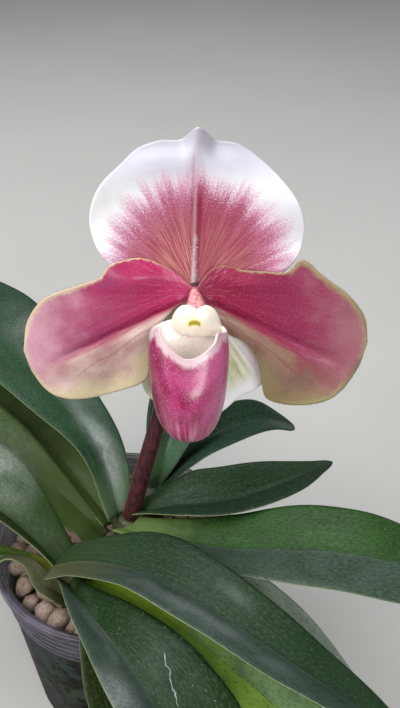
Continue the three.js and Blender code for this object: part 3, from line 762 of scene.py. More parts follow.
# How each leaf is coloured: its left and right halves as seen from the foot, its foot, which may be a pair
# of colours for the two halves, and how far that reaches, how thick its limy flecks and grey film of
# painted sheen lie, and its pale patches, partly dusty and partly painted sheen. Each patch is its middle
# along and across the leaf, its reach in those two directions, and how thick it lies. A trail is where a
# dried line
# starts and ends, along and across. On several leaves the halves are a lit and a shaded copy of one green:
# the greyer, paler half is painted sheen and the darker half painted shade.
LEAF_LOOKS = {
    # Its right half's grey-green is painted sheen over the leaf's green.
    "leaf_front_1": dict(
        left="#152a18", right="#35433d", foot=("#22331a", "#3f422a"), reach=0.2, lime_and_sheen=0.1,
        dust_and_sheen=[(0.45, 0.8, 0.07, 0.12, 0.16), (0.42, 0.25, 0.3, 0.25, 0.3)],
    ),
    # Its right half's grey-green is painted sheen over the leaf's green.
    "leaf_front_2": dict(
        left="#0e260a", right="#36433c", foot="#3c4c26", reach=0.08, lime_and_sheen=0.5,
        dust_and_sheen=[(0.56, 0.12, 0.12, 0.3, 0.5), (0.34, 0.35, 0.3, 0.16, 0.2)],
        trail=(0.53, 0.79, 0.65, 0.65),
    ),
    # Its bright lime is partly the leaf's own colour and partly painted light shining through it under
    # leaf_front_1.
    "leaf_front_3": dict(left="#6f8a5c", right="#7fa03e", foot="#8cae2c", reach=0.45, lime_and_sheen=0.3),
    "leaf_front_4": dict(left="#24320f", right="#1f280a", foot="#2a3414", reach=0.3, lime_and_sheen=0.1),
    "leaf_front_5": dict(
        left="#1f2c0f", right="#2a4014", foot="#20320f", reach=0.2, lime_and_sheen=0.15,
        dust_and_sheen=[(0.32, 0.2, 0.14, 0.4, 0.5)],
    ),
    "leaf_front_6": dict(left="#3c5a20", right="#445a1c", foot="#8c8a1c", reach=0.26, lime_and_sheen=0.05),
    "leaf_front_7": dict(left="#55533a", right="#46452c", foot="#33331f", reach=0.3, lime_and_sheen=0.05),
    "leaf_flowering_1": dict(
        left="#24402c", right="#22382a", foot="#52684a", reach=0.12, lime_and_sheen=0.3,
        dust_and_sheen=[(0.12, 0.42, 0.16, 0.36, 0.85), (0.3, 0.4, 0.22, 0.2, 0.15), (0.5, 0.3, 0.2, 0.3, 0.2)],
    ),
    "leaf_flowering_2": dict(
        left="#3e502c", right="#3a4b24", foot="#3e4e22", reach=0.3, lime_and_sheen=0.22,
        dust_and_sheen=[(0.34, 0.5, 0.12, 0.25, 0.3)],
    ),
    "leaf_flowering_3": dict(left="#40522a", right="#35421d", foot="#445426", reach=0.3, lime_and_sheen=0.15),
    # Its right half's grey-green is painted sheen over the leaf's green.
    "leaf_flowering_4": dict(left="#28481c", right="#3c4a40", foot="#566a36", reach=0.22, lime_and_sheen=0.25),
    "leaf_flowering_5": dict(left="#142c16", right="#182c1e", foot="#2a3e24", reach=0.12, lime_and_sheen=0.02),
    # Both halves' pale grey-green is painted sheen over the leaf's green.
    "leaf_flowering_6": dict(left="#b4c2b4", right="#9cae94", foot="#6c8048", reach=0.3, lime_and_sheen=0.3),
    "leaf_rear_1": dict(left="#142c20", right="#1e362b", foot="#2c442c", reach=0.15, lime_and_sheen=0.08),
    "leaf_rear_2": dict(left="#18301e", right="#42604e", foot="#385032", reach=0.2, lime_and_sheen=0.1),
}


def leaf_width(leaf, u):
    """Half width along a leaf, as a share of its full half width."""
    foot = lerp(leaf["foot"], 1, smooth(u, 0, leaf["widest"]))
    taper = 1 - (np.maximum(u - leaf["widest"], 0) / (1.002 - leaf["widest"])) ** leaf["taper"]
    return foot * taper ** lerp(1, 0.8, smooth(u, 0.9, 1))


def leaf_fold(leaf, u):
    foot, middle, tip = leaf["fold"]
    return np.where(u < 0.3, lerp(foot, middle, smooth(u, 0, 0.3)), lerp(middle, tip, (u - 0.3) / 0.7))


def leaf_surface(leaf, seed):
    curve = Curve(leaf["path"])
    flattening, crease, ruffle, short_wave, long_wave = 0.25, 0.05, 0.3, 6.5, 15
    left, right = leaf.get("left", (1, 1)), leaf.get("right", (1, 1))
    draw = seeded(seed)
    phase = [6.28 * next(draw) for _ in range(4)]

    def surface(u, v):
        along = curve.tangent(u)
        side = unit(together(-along[..., 1], along[..., 0], 0 * u))
        roll = np.radians(lerp(*leaf["roll"], u))[..., None]
        lift = np.cross(along, side)
        side, up = side * np.cos(roll) + lift * np.sin(roll), lift * np.cos(roll) - side * np.sin(roll)
        across = 2 * v - 1
        share = np.where(across > 0, lerp(*left, u), lerp(*right, u))
        half = leaf["width"] / 2 * leaf_width(leaf, u) * share
        angle = np.radians(leaf_fold(leaf, u)) * (1 - flattening * np.abs(across))
        stand = np.sqrt(across**2 + crease**2) - crease
        turn = np.where(across > 0, phase[0], phase[1])
        place = curve.length * u
        wave = ruffle * np.sin(place / short_wave + turn) * np.sin(place / long_wave + phase[2])
        wave *= np.abs(across) ** 3 * smooth(u, 0.1, 0.4) * (1 - smooth(u, 0.9, 1))
        rise = half * stand * np.sin(angle) + wave
        return curve.at(u) + side * (half * across * np.cos(angle))[..., None] + up * rise[..., None]

    return surface, curve.length


def leaf_thickness(u, v):
    across = np.abs(2 * v - 1)
    keel = 0.7 * bump(across, 0, 0.08) * (1 - smooth(u, 0.5, 1))
    body = LEAF_THICKNESS * lerp(0.9, 0.55, across**2) + keel
    edge = np.sqrt(np.clip(1 - ((across - 0.97) / 0.03).clip(0, 1) ** 2, 0.08, 1))
    return body * edge * lerp(1, 0.7, smooth(u, 0.6, 1))


class LeafLook(Look):
    """A look for a leaf, with u along it, v across it, and its flat place in tenths of a metre."""

    def __init__(self, name, **constants):
        super().__init__(name, **constants)
        self.u, self.v, _ = self.split(self.uv("rays"))
        self.flat = self.uv("flat")

    def halves(self, left, right):
        return self.mix(self.ramp(self.v, 0.47, 0.53), right, left)


def leaf_ground(look, tiles, left, right, foot, reach):
    """A leaf's green: its two halves, on several leaves one with painted sheen and one with painted shade,
    mottled and tiled, over a foot of other colours.
    """
    body = look.mix(look.patches(look.flat, 12, 3, 0.35, 0.7, 0.4), look.halves(left, right), "#16260f")
    body = look.mix(look.ramp(tiles, 0.5, 0.66, 0, 0.12), body, "#688556")
    body = look.mix(look.fade(tiles, 0.36, 0.5, 0.4), body, "#101e0b")
    left_foot, right_foot = (foot, foot) if isinstance(foot, str) else foot
    wobble = look.ramp(look.noise(look.flat, 16, 2), 0.2, 0.8, -0.2 * reach, 0.2 * reach)
    share = look.fade(look.u + wobble, 0.35 * reach, 1.35 * reach)
    return look.mix(share, body, look.halves(left_foot, right_foot))


def leaf_dust_and_sheen(look, body, patches):
    patch_grain = look.ramp(look.noise(look.flat, 120, 4), 0.3, 0.7, 0.5, 1)
    drift = look.ramp(look.noise(look.flat, 9, 3), 0.3, 0.6, 0.3, 1)
    for middle_u, middle_v, reach_u, reach_v, thick in patches:
        patch = look.near(look.u, middle_u, reach_u) * look.near(look.v, middle_v, reach_v)
        share = patch * patch_grain * drift * thick
        # Pale grey patches, partly dusty and partly painted sheen.
        body = look.mix(share, body, "#a2a8a4")
    return body


def leaf_trail(look, body, start_u, start_v, end_u, end_v):
    """A thin pale line that wanders from one place on the leaf to another."""
    slope = (end_v - start_v) / (end_u - start_u)
    above = look.v - (look.u * slope + start_v - slope * start_u)
    off = above + look.sway(look.noise(look.flat, 30, 3), 0.012)
    length = look.ramp(look.u, start_u - 0.01, start_u) * look.fade(look.u, end_u, end_u + 0.01, 0.6)
    return look.mix(look.near(off, 0, 0.006) * length, body, "#a9b6bc")


def leaf_look(name, left, right, foot, reach, lime_and_sheen, dust_and_sheen=(), trail=None):
    """The upper face: fine veins and a pale margin on the leaf's green, a grey film of painted sheen, limy
    flecks, and pale patches that are partly dusty and partly painted sheen."""
    look = LeafLook(name, Specular_IOR_Level=0.15)
    tiles = look.stretched(look.flat, (26, 60, 1), 2.6, 4)
    veins = look.stretched(look.flat, (3, 210, 1), 1, 2)
    body = leaf_ground(look, tiles, left, right, foot, reach)
    body = look.mix(look.ramp(veins, 0.45, 0.7, 0, 0.035), body, "#8fa47a")
    body = look.mix(look.near(look.v, 0.5, 0.01) * 0.35, body, "#1a2c14")
    margin = look.math("MINIMUM", look.v, look.math("SUBTRACT", 1, look.v))
    body = look.mix(look.fade(margin, 0, 0.007, 0.4), body, "#78845e")
    # Painted sheen: a grey-green film, thicker where the leaf has more limy flecks.
    body = look.mix(look.patches(look.flat, 6, 4, 0.45, 0.85, 0.4 * lime_and_sheen), body, "#6e7c77")
    body = leaf_dust_and_sheen(look, body, dust_and_sheen)
    flecks = look.fade(look.cells(look.flat, 60), 0.04, 0.12, lime_and_sheen)
    body = look.mix(flecks * look.patches(look.flat, 13, 2, 0.52, 0.64), body, "#dfe4e2")
    look.colour(leaf_trail(look, body, *trail) if trail else body)
    look.roughness(look.noise(look.flat, 40, 3), 0.38, 0.55)
    look.relief(veins * 0.5 + tiles + look.noise(look.flat, 90, 2), 0.1, 0.4)
    return look.material


def underside_look():
    look = LeafLook("leaf_underside", Roughness=0.5, Specular_IOR_Level=0.4)
    veins = look.math("SINE", look.v * 150)
    body = look.mix(look.patches(look.flat, 20, 3, 0.3, 0.7), "#4d5c38", "#74864f")
    body = look.mix(look.ramp(veins, -1, 1, 0, 0.06), body, "#a3b07c")
    look.colour(look.mix(look.near(look.v, 0.5, 0.03) * 0.5, body, "#a3b07c"))
    look.relief(veins, 0.15, 0.5)
    return look.material


def make_leaf(name, leaf, seed, materials, steps=(110, 28)):
    surface, length = leaf_surface(leaf, seed)
    maps = {
        "rays": together,
        "flat": lambda u, v: together(u * length / 100, (v - 0.5) * leaf["width"] / 100),
    }
    piece = blade(name + "_blade", surface, steps, leaf_thickness, materials, maps)
    settle(piece, name)


def make_leaves():
    back = underside_look()
    rim = mottled("leaf_rim", "#5f6c44", "#8d936f", 60, layer="flat", Roughness=0.45)
    for k, (name, leaf) in enumerate(LEAVES.items()):
        face = leaf_look(name + "_look", **LEAF_LOOKS[name])
        make_leaf(name, leaf, 11 + 7 * k, [face, back, rim])
    papery = leaf_look("sheath_look", left="#7f8a4c", right="#77824a", foot="#8a7a58", reach=0.3, lime_and_sheen=0.1)
    for k, (name, leaf) in enumerate(BRACTS.items()):
        make_leaf(name, leaf, 301 + 7 * k, [papery, back, rim], (40, 16))


# Growths: short stems wrapped in leaf bases. Each is an oval post, turned so that its leaves fan out to
# both sides.
GROWTHS = {
    "growth_front": dict(at=(-14, -25), fan=150, size=1),
    "growth_flowering": dict(at=(6, -1.4), fan=140, size=1),
    "growth_rear": dict(at=(14, 14), fan=60, size=0.85),
}
# The post's heights, with half its length and width there
GROWTH_RINGS = [(60, 4.5, 4.5), (78, 5.5, 5), (85, 7.5, 5.2), (90, 7.5, 4.6), (93, 4.5, 3)]


def growth_look():
    look = Look("growth_look", Roughness=0.5)
    spot = look.place()
    fibres = look.stretched(spot, (900, 900, 60), 1, 3)
    body = look.mix(look.ramp(look.split(spot)[2], 0.074, 0.092), "#3a2c1c", "#45482a")
    look.colour(look.mix(look.ramp(fibres, 0.35, 0.7, 0, 0.6), body, "#22241a"))
    look.relief(fibres, 0.4, 0.7)
    return look.material


def growth_ring(growth, z):
    """A turned oval with two faint ridges, which wind up the post."""
    heights, lengths, widths = zip(*GROWTH_RINGS)
    angles = all_round(48)
    size = growth["size"] * (1 + 0.03 * np.cos(angles * 2 + z / 3))
    along = np.interp(z, heights, lengths) * size * np.cos(angles)
    across = np.interp(z, heights, widths) * size * np.sin(angles)
    turn = math.radians(growth["fan"])
    x = growth["at"][0] + along * math.cos(turn) - across * math.sin(turn)
    y = growth["at"][1] + along * math.sin(turn) + across * math.cos(turn)
    return together(x, y, np.full_like(x, z))


def make_growths():
    look = growth_look()
    for name, growth in GROWTHS.items():
        rings = [growth_ring(growth, z) for z in np.linspace(GROWTH_RINGS[0][0], GROWTH_RINGS[-1][0], 40)]
        settle(solid(name + "_sheaths", rings, [look]), name)


# The flower's pieces are laid out in millimetres from its centre: x to the right and y upwards as seen from
# the front, and z out of its face.
FACING = np.array(Matrix.Rotation(math.radians(90 - FLOWER_TILT), 3, "X"))


def in_world(points):
    return np.asarray(points, float) @ FACING.T + FLOWER_CENTRE


STEM_PATH = [(7, -2.2, 94.4), (12.2, 1.5, 114), (18, 6, 134), (22.8, 10.5, 152), (26, 14.5, 166)]


def stem_look():
    look = Look("stem_look", Specular_IOR_Level=0.4)
    spot = look.place()
    grain = look.stretched(spot, (1100, 1100, 260), 1, 3)
    body = look.mix(look.ramp(grain, 0.35, 0.65), "#2c0e14", "#4a1c22")
    look.colour(look.mix(look.patches(spot, 1500, 2, 0.62, 0.78, 0.45), body, "#85594f"))
    look.roughness(grain, 0.4, 0.6)
    look.relief(grain, 0.3, 0.7)
    return look.material


def down(name, rings, count, length, material, seed):
    """Short hairs all over a tube, leaning up a little."""
    draw = np.random.default_rng(seed)
    rings = np.asarray(rings)
    i, j = draw.integers(0, rings.shape[0] - 1, count), draw.integers(0, rings.shape[1], count)
    share, turn = draw.random((count, 1)), draw.random((count, 1))
    beside = (j + 1) % rings.shape[1]
    low, high = lerp(rings[i, j], rings[i, beside], turn), lerp(rings[i + 1, j], rings[i + 1, beside], turn)
    roots = lerp(low, high, share)
    middle = lerp(rings[i].mean(axis=1), rings[i + 1].mean(axis=1), share)
    lean = unit(high - low)
    directions = unit(roots - middle) + 0.35 * lean + 0.5 * (draw.random((count, 3)) - 0.5)
    settle(hairs(name, roots, directions, length * (0.6 + 0.8 * draw.random(count)), 0.04, material))


def ovary_radius(t):
    return lerp(2.5, 2.9, smooth(t, 0, 0.5)) - 0.5 * smooth(t, 0.7, 0.9) - 1.4 * smooth(t, 0.9, 1)


def make_stem():
    """The stem, and the ovary that bends from its top to the flower's centre."""
    look, fuzz = stem_look(), hair_look("stem_hair", "#7c4a44")
    stem_rings = tube_rings(Curve(STEM_PATH), lambda t: STEM_RADIUS * (1 - 0.12 * t), 90, 40)
    foot, before = np.array(STEM_PATH[-1], float), np.array(STEM_PATH[-2], float)
    lift = unit(foot - before)
    bend = in_world([(-1.5, -9, -11), (0, -2.5, -10.5), (0, 0, -4), (0, 0, -0.6)])
    ovary_path = Curve(np.vstack([foot + 0.1 * lift, foot + 6 * lift, bend]))
    ovary_rings = tube_rings(ovary_path, ovary_radius, 60, 40)
    for node, rings in (("stem", stem_rings), ("ovary", ovary_rings)):
        settle(solid(node + "_skin", rings, [look]), node)
    down("stem_down", stem_rings, count=2600, length=0.6, material=fuzz, seed=5)
    down("ovary_down", ovary_rings, count=1300, length=0.6, material=fuzz, seed=6)


# Flower outlines, each from the foot of a petal or sepal round its whole edge and back to the foot
DORSAL = [
    (-2, -1), (-14, 2), (-23.5, 5.5), (-30, 10.5), (-33.4, 18), (-33.3, 25), (-29.8, 33), (-23, 40),
    (-18, 44.5), (-11, 46.8), (-4.5, 47.1), (1.2, 50.8), (6.6, 47), (13.5, 45.8), (20, 41.7), (27.4, 34.8),
    (33, 26.8), (35.2, 18.5), (32.8, 9.8), (26, 4), (14, 1), (2, -1),
]
SYNSEPAL = [
    (-2, -2), (-10, -10), (-16, -18.5), (-18.5, -27), (-17, -35), (-11, -41), (-4, -45), (2.5, -46.5),
    (10, -41.5), (15, -37), (20.5, -34), (22.6, -31), (21.8, -25), (18, -19), (11, -10), (2, -2),
]
LEFT_PETAL = [
    (-0.6, -1.6), (-6.5, -5.5), (-10.5, -9), (-14, -14), (-15, -22), (-16, -29), (-24, -32.3), (-35, -34.6),
    (-46.4, -32), (-52.4, -25.4), (-54.6, -17.5), (-53, -8.3), (-47, -0.6), (-38, 2.6), (-30, 5.4),
    (-27, 9), (-22.5, 10.4), (-17.5, 11), (-12, 9.5), (-6, 6), (-0.6, 1.6),
]
RIGHT_PETAL = [
    (0.6, -1.6), (4.5, -5.6), (8, -9), (10.5, -13.5), (16.2, -16.6), (20.4, -22.5), (21.8, -30),
    (23.6, -35.2), (32, -37.4), (44, -33.6), (52.4, -24), (54.8, -15), (53.8, -7.5), (48.6, -0.2),
    (40, 6.2), (33.5, 10.9), (29, 7.2), (21, 7), (15.5, 7.2), (9, 8.5), (5, 7), (0.6, 1.6),
]


def spread(outline, depth):
    """A surface from the foot of an outline to its edge: u runs outwards and v round the edge."""
    first, last = np.array(outline[0], float), np.array(outline[-1], float)

    def surface(u, v):
        flat = lerp(lerp(first, last, v[..., None]), outline_at(outline, v), u[..., None])
        x, y = flat[..., 0], flat[..., 1]
        return together(x, y, depth(x, y, u, v))

    return surface


def between(outline, tip, depth):
    """A surface between the two edges of an outline whose tip is the point of that number: u runs from the
    foot to the tip, closer and closer, and v from the lower to the upper edge."""
    lower, upper = Curve(outline[: tip + 1]), Curve(outline[tip:][::-1])

    def surface(u, v):
        share = 0.998 * (1 - (1 - u) ** 1.5)
        flat = lerp(lower.at(share), upper.at(share), v[..., None])
        x, y = flat[..., 0], flat[..., 1]
        return together(x, y, depth(x, y, share, v))

    return surface


def rim_distance(outline, x, y):
    """How far points are from an outline's edge, in millimetres."""
    line = outline_at(outline, np.linspace(0, 1, 500))
    near = [np.hypot(line[:, 0] - a, line[:, 1] - b).min() for a, b in zip(x.ravel(), y.ravel())]
    return np.array(near).reshape(x.shape)


def dorsal_depth(x, y, u, v):
    cup = 5 * smooth(y, 8, 34) * (x / 34) ** 2
    back = 4 * np.sin(math.pi * np.maximum(y, 0) / 52)
    groove = 0.9 * bump(x, 0.02 * y, 1.6) * smooth(y, 0, 8) * (1 - smooth(y, 30, 50))
    wave = 1.3 * smooth(u, 0.7, 1) * smooth(y, 8, 16) * np.sin(y / 4.2 + (x > 0))
    curl = 3 * smooth(u, 0.82, 1) * smooth(y, 36, 46) * smooth(np.abs(x - 1.2), 0, 6)
    return -3.4 + cup - back + wave - groove - curl


def synsepal_depth(x, y, u, v):
    back = 4 * np.sin(math.pi * np.minimum(-y, 46) / 46)
    cup = 2.6 * smooth(-y, 8, 40) * (x / 20) ** 2
    groove = 0.7 * bump(x, 1, 1.6)
    veins = 0.12 * np.sin(v * 110) * smooth(u, 0.05, 0.2) * (1 - smooth(u, 0.7, 0.95))
    return -3.4 - np.maximum(back, 0) + cup - groove + veins


def petal_depth(x, y, u, v):
    out = np.abs(x)
    reach = 6.5 * smooth(out, 4, 54)
    roll = 1.5 * smooth(v, 0.75, 1) * bump(u, 0.28, 0.15)
    shoulder = 1.8 * bump(out, 19, 9) * bump(y, 5.5, 4.5)
    groove = 1 * bump(y, -2.2 - 0.42 * out, 1.8) * smooth(out, 2, 10) * (1 - smooth(out, 36, 50))
    edge = smooth(np.abs(2 * v - 1), 0.5, 1)
    wave = 1.2 * edge * np.sin(19 * u) * smooth(out, 16, 30) * (1 - 0.5 * smooth(v, 0.4, 0.8))
    return reach - roll + shoulder - groove + wave


def flower_sheet(name, node, outline, shape, steps, materials):
    """A petal or sepal, with its flat place and its distance from the edge kept for its looks."""

    def distance(u, v):
        x, y, _ = np.moveaxis(shape(u, v), -1, 0)
        return rim_distance(outline, x, y)

    def thickness(u, v):
        gap = distance(u, v)
        return PETAL_THICKNESS * lerp(0.55, 1, smooth(gap, 0, 14)) * np.sqrt(np.clip(gap / 0.4, 0.1, 1))

    maps = {
        "rays": together,
        "flat": lambda u, v: shape(u, v)[..., :2] / 100 + 0.5,
        "rim": lambda u, v: together(distance(u, v) / 100, 0 * u),
    }
    forward = FACING @ np.array([0, 0, 1])
    piece = blade(name, lambda u, v: in_world(shape(u, v)), steps, thickness, materials, maps, forward)
    settle(piece, node)


class FlowerLook(Look):
    """A look for flower sheets, with x and y in millimetres from the flower's centre, the distance from the
    foot and the turn about it, and the distance from the sheet's edge."""

    def __init__(self, name, sideways=False, **constants):
        super().__init__(name, **constants)
        self.flat = self.uv("flat")
        x, y, _ = self.split(self.flat)
        self.x = (x - 0.5) * 100
        self.y = (y - 0.5) * 100
        aside, ahead = (self.y, self.x) if sideways else (self.x, self.y)
        self.turn = self.math("ARCTAN2", aside, self.math("ABSOLUTE", ahead))
        self.reach = self.math("SQRT", self.x * self.x + self.y * self.y)
        self.rim = self.split(self.uv("rim"))[0] * 100

    def streaks(self, around, along, detail, shift=0):
        """Noise drawn out along the rays from the foot: so many streaks a radian, and so many changes a
        millimetre along them."""
        return self.noise(self.join(self.turn * around + shift, self.reach * along), 1, detail)

    def grain(self, scale, detail):
        return self.noise(self.flat, scale, detail)


def flesh(share, green_and_blue):
    """A shader's constants for thin flesh that light gets into: how much of it, and how far its green and
    blue reach beside its red."""
    radius = (1, green_and_blue, green_and_blue)
    return {"Subsurface_Weight": share, "Subsurface_Radius": radius, "Subsurface_Scale": 0.0015}


def dorsal_heart(look, fine, speck):
    """0 in the middle of the rosy heart and about 1 at its edge, made ragged by streaks and specks."""
    along_x = (look.x - 1) / 30
    along_y = (look.y - 8) / 28.5
    heart = look.math("SQRT", along_x * along_x + along_y * along_y)
    for noise_value, reach in ((look.streaks(9, 0.04, 2, 7), 0.07), (fine, 0.035), (speck, 0.06)):
        heart = heart + look.sway(noise_value, reach)
    return heart


def dorsal_pink(look, heart, fine, speck):
    """The rosy heart: crimson streaks, tan ones near the foot, painted shade on the right half beside the
    midrib and pale dots to the edge."""
    pink = look.mix(look.ramp(heart, 0.45, 1), "#95344f", "#c47c9e")
    crimson = look.ramp(fine, 0.44, 0.6, 0, 0.8) * look.ramp(heart, 0.55, 1, 1, 0.15)
    pink = look.mix(crimson, pink, "#8e2442")
    tan = look.ramp(look.streaks(36, 0.06, 3, 31), 0.47, 0.58) * look.fade(look.reach, 8, 30)
    pink = look.mix(tan * 0.65, pink, "#cf9c78")
    # Painted shade: the right half darker, most just right of the midrib.
    shade = look.ramp(look.x, 0, 1.5) * look.ramp(look.x, 4, 26, 0.5, 0.1)
    pink = look.mix(shade, pink, "#86203c")
    pale_dots = look.ramp(speck, 0.5, 0.7) * look.ramp(heart, 0.5, 1, 0.05, 0.35)
    return look.mix(pale_dots, pink, "#ecc6d4")


def dorsal_white(look, heart):
    """The white border: greyer to the right and the top with painted shade, and tinged with pink beside
    the heart.
    """
    white = look.mix(look.ramp(look.grain(10, 2), 0.4, 0.7), "#f6f6f9", "#ecebf1")
    # Painted shade: greyer to the right, and much greyer towards the top.
    white = look.mix(look.ramp(look.x, 2, 30, 0, 0.45), white, "#d5d2dc")
    white = look.mix(look.ramp(look.y, 29, 41, 0, 0.92), white, "#b6b4bf")
    return look.mix(look.fade(heart, 0.86, 1.14, 0.4), white, "#e4b4cb")


def dorsal_midrib(look, body):
    """A dark groove with a pale ridge on its left, which ends near the top in a crease of painted grey
    shade.
    """
    rib = look.x - look.y * 0.026
    groove = look.near(rib, 0.8, 1.5) * look.fade(look.y, 26, 36)
    body = look.mix(groove, body, "#74142f")
    # Painted shade: a grey band along the crease near the top.
    crease = look.near(rib, 0.9, 2.2) * look.ramp(look.y, 33, 40, 0, 0.35)
    body = look.mix(crease, body, "#a5a2b4")
    ridge = look.near(rib, -0.8, 0.9) * look.ramp(look.y, 4, 20, 0.75, 0.3)
    return look.mix(ridge, body, "#e6c2c6")


def dorsal_look():
    """White round a rosy heart that fades out in fine streaks, with a midrib and a few purple marks at the
    edge."""
    look = FlowerLook("dorsal_look", Specular_IOR_Level=0.35, **flesh(0.12, 0.6))
    fine, speck = look.streaks(50, 0.12, 3), look.grain(190, 5)
    heart = dorsal_heart(look, fine, speck)
    pink, white = dorsal_pink(look, heart, fine, speck), dorsal_white(look, heart)
    body = dorsal_midrib(look, look.mix(look.fade(heart, 0.74, 1.12), white, pink))
    marks = look.fade(look.cells(look.flat, 24), 0.015, 0.045, 0.6)
    look.colour(look.mix(marks * look.fade(look.rim, 1, 9), body, "#8c4f86"))
    look.roughness(look.grain(200, 2), 0.36, 0.52)
    look.relief(look.streaks(55, 0.15, 2) + look.grain(260, 3) * 0.5, 0.1, 0.5)
    return look.material


# What sets the two petals' colours apart: which way each points, its middle vein (height at the foot and
# fall with the distance out), then its colours near the foot, half way out and at the tip, below the vein
# (close to it, further down, and its paler clouds), in the cream band beside the vein, at the bottom and at
# the edge, and how wide that edge is in millimetres
PETAL_LOOKS = {
    "petal_left": dict(
        side=-1, vein=(-1.2, 0.43), near=("#a20a4c", "#b93868"), half="#9c3360", tip="#c696a5",
        low=("#9c6268", "#a98882", "#c9b2a4"), band="#e4cabd", bottom="#cbbd98", edge="#c6b894", margin=1.9,
    ),
    # The right petal's darker colours are partly its own deeper tint and partly painted shade.
    "petal_right": dict(
        side=1, vein=(-0.2, 0.53), near=("#7c0430", "#981e48"), half="#832048", tip="#935c64",
        low=("#7c3a3e", "#72554a", "#8f745e"), band="#9c7e6a", bottom="#857753", edge="#8f8a5c", margin=2.2,
    ),
}


# The dark veins: how far each lies above the middle one, its width, how far out it ends, its strength, and
# how it turns away with the distance out
PETAL_VEINS = [
    (0, 0.8, 44, 0.75, 0),
    (4.6, 0.7, 44, 0.35, 0.02),
    (8.4, 0.5, 30, 0.25, -0.03),
    (-1.4, 0.7, 42, 0.4, -0.2),
]


class PetalLook(FlowerLook):
    """A look for a petal, with the distance out from the flower's middle and the rise above the middle
    vein."""

    def __init__(self, name, side, vein):
        gloss = {"Coat_Weight": 0.12, "Coat_Roughness": 0.16, "Specular_IOR_Level": 0.3}
        super().__init__(name, sideways=True, **gloss, **flesh(0.1, 0.5))
        self.out = self.x * side
        self.rise = self.y + self.out * vein[1] - vein[0]
        self.fine = self.streaks(48, 0.1, 4)
        self.broad = self.streaks(14, 0.06, 3, 5)
        self.speck = self.grain(210, 5)
        self.cloud = self.grain(17, 4)
        self.wander = self.sway(self.cloud, 3)
        self.ragged_out = self.out + self.wander

    def above_vein(self, near, half, tip):
        """Rose-magenta with fine streaks near the foot, paler to the tip."""
        body = self.mix(self.ramp(self.fine, 0.4, 0.62), *near)
        body = self.mix(self.ramp(self.ragged_out, 10, 30), body, half)
        body = self.mix(self.ramp(self.ragged_out, 30, 54), body, tip)
        streaks = self.ramp(self.broad, 0.42, 0.62) * self.fade(self.out, 20, 52, 0.55)
        return self.mix(streaks, body, near[0])

    def below_vein(self, low, tip):
        """Dusty, with paler clouds and broad streaks, turning to the tip's colour."""
        body = self.mix(self.ramp(self.rise + self.wander, -9, -1), low[1], low[0])
        body = self.mix(self.ramp(self.grain(11, 3), 0.36, 0.66, 0.1, 0.7), body, low[2])
        body = self.mix(self.ramp(self.broad, 0.5, 0.7, 0, 0.35), body, low[0])
        return self.mix(self.ramp(self.ragged_out, 32, 56, 0, 0.5), body, tip)

    def beside_vein(self, body, band):
        """A cream band just below the vein, and pale streaks of painted sheen above it near the foot."""
        near_vein = self.near(self.rise + self.out * 0.06, -3, 3.2)
        share = self.ramp(self.out, 5, 8) * self.fade(self.out, 14, 30, 0.95)
        body = self.mix(near_vein * share, body, band)
        # Painted sheen: pale pink streaks above the vein, near the foot.
        streaks = self.ramp(self.streaks(18, 0.3, 3, 17), 0.55, 0.68, 0, 0.4)
        sheen = streaks * self.fade(self.out, 3, 17)
        return self.mix(sheen * self.ramp(self.rise, -1, 1), body, "#dba8c2")

    def dark_veins(self, body):
        for offset, width, end, strength, drift in PETAL_VEINS:
            turned = self.rise + self.out * -drift
            bent = turned + self.sway(self.grain(14, 2), 0.6)
            mark = self.near(bent, offset, width) * self.ramp(self.speck, 0.3, 0.6, 0.6, 1)
            body = self.mix(mark * self.fade(self.out, end - 14, end, strength), body, "#7c1238")
        return body

    def border(self, body, bottom, edge, margin):
        """The pale bottom and the yellowish edge."""
        rim = self.rim + self.sway(self.cloud, 1.4)
        bottom_share = self.fade(rim, 1, 8.5) * self.fade(self.rise, -15, -6)
        body = self.mix(bottom_share, body, bottom)
        rim = self.rim + self.sway(self.grain(60, 3), 0.35)
        wide = self.ramp(self.out, 22, 40, 0.35 * margin, margin)
        share = self.fade(rim / wide, 0.25, 1.1, 0.75)
        return self.mix(share * self.ramp(self.out, 6, 20, 0.2, 1), body, edge)


def petal_look(name, side, vein, near, half, tip, low, band, bottom, edge, margin):
    look = PetalLook(name + "_look", side, vein)
    depth = look.rise + look.sway(look.fine, 0.8)
    above, below = look.above_vein(near, half, tip), look.below_vein(low, tip)
    body = look.mix(look.fade(depth, -3.4, -0.4), above, below)
    body = look.dark_veins(look.beside_vein(body, band))
    body = look.border(body, bottom, edge, margin)
    body = look.mix(look.ramp(look.speck, 0.54, 0.68, 0, 0.35), body, "#923058")
    body = look.mix(look.ramp(look.grain(240, 3), 0.56, 0.7, 0, 0.2), body, "#d9b3a8")
    look.colour(body)
    look.roughness(look.grain(220, 2), 0.32, 0.5)
    look.relief(look.streaks(60, 0.15, 2) * 0.6 + look.grain(240, 3), 0.1, 0.5)
    return look.material


def green_sepal_look():
    """Pale green with darker veins, and white along its right edge."""
    look = FlowerLook("synsepal_look", Subsurface_Weight=0.15, Subsurface_Scale=0.002)
    veins = look.ramp(look.streaks(22, 0.03, 2), 0.45, 0.62, 0, 0.55)
    body = look.mix(look.ramp(look.grain(22, 3), 0.35, 0.65), "#c6cd9c", "#dadfba")
    body = look.mix(veins * look.ramp(look.rim, 2, 8), body, "#8a9d62")
    white = look.fade(look.rim, 1.5, 7.5) * look.ramp(look.x, -4, 9, 0.3, 1)
    look.colour(look.mix(white, body, "#f4f2f4"))
    look.roughness(look.grain(200, 2), 0.4, 0.55)
    look.relief(look.streaks(40, 0.1, 2), 0.12, 0.6)
    return look.material


def edge_look(name, low, high):
    return mottled(name, low, high, 90, layer="flat", Roughness=0.45)


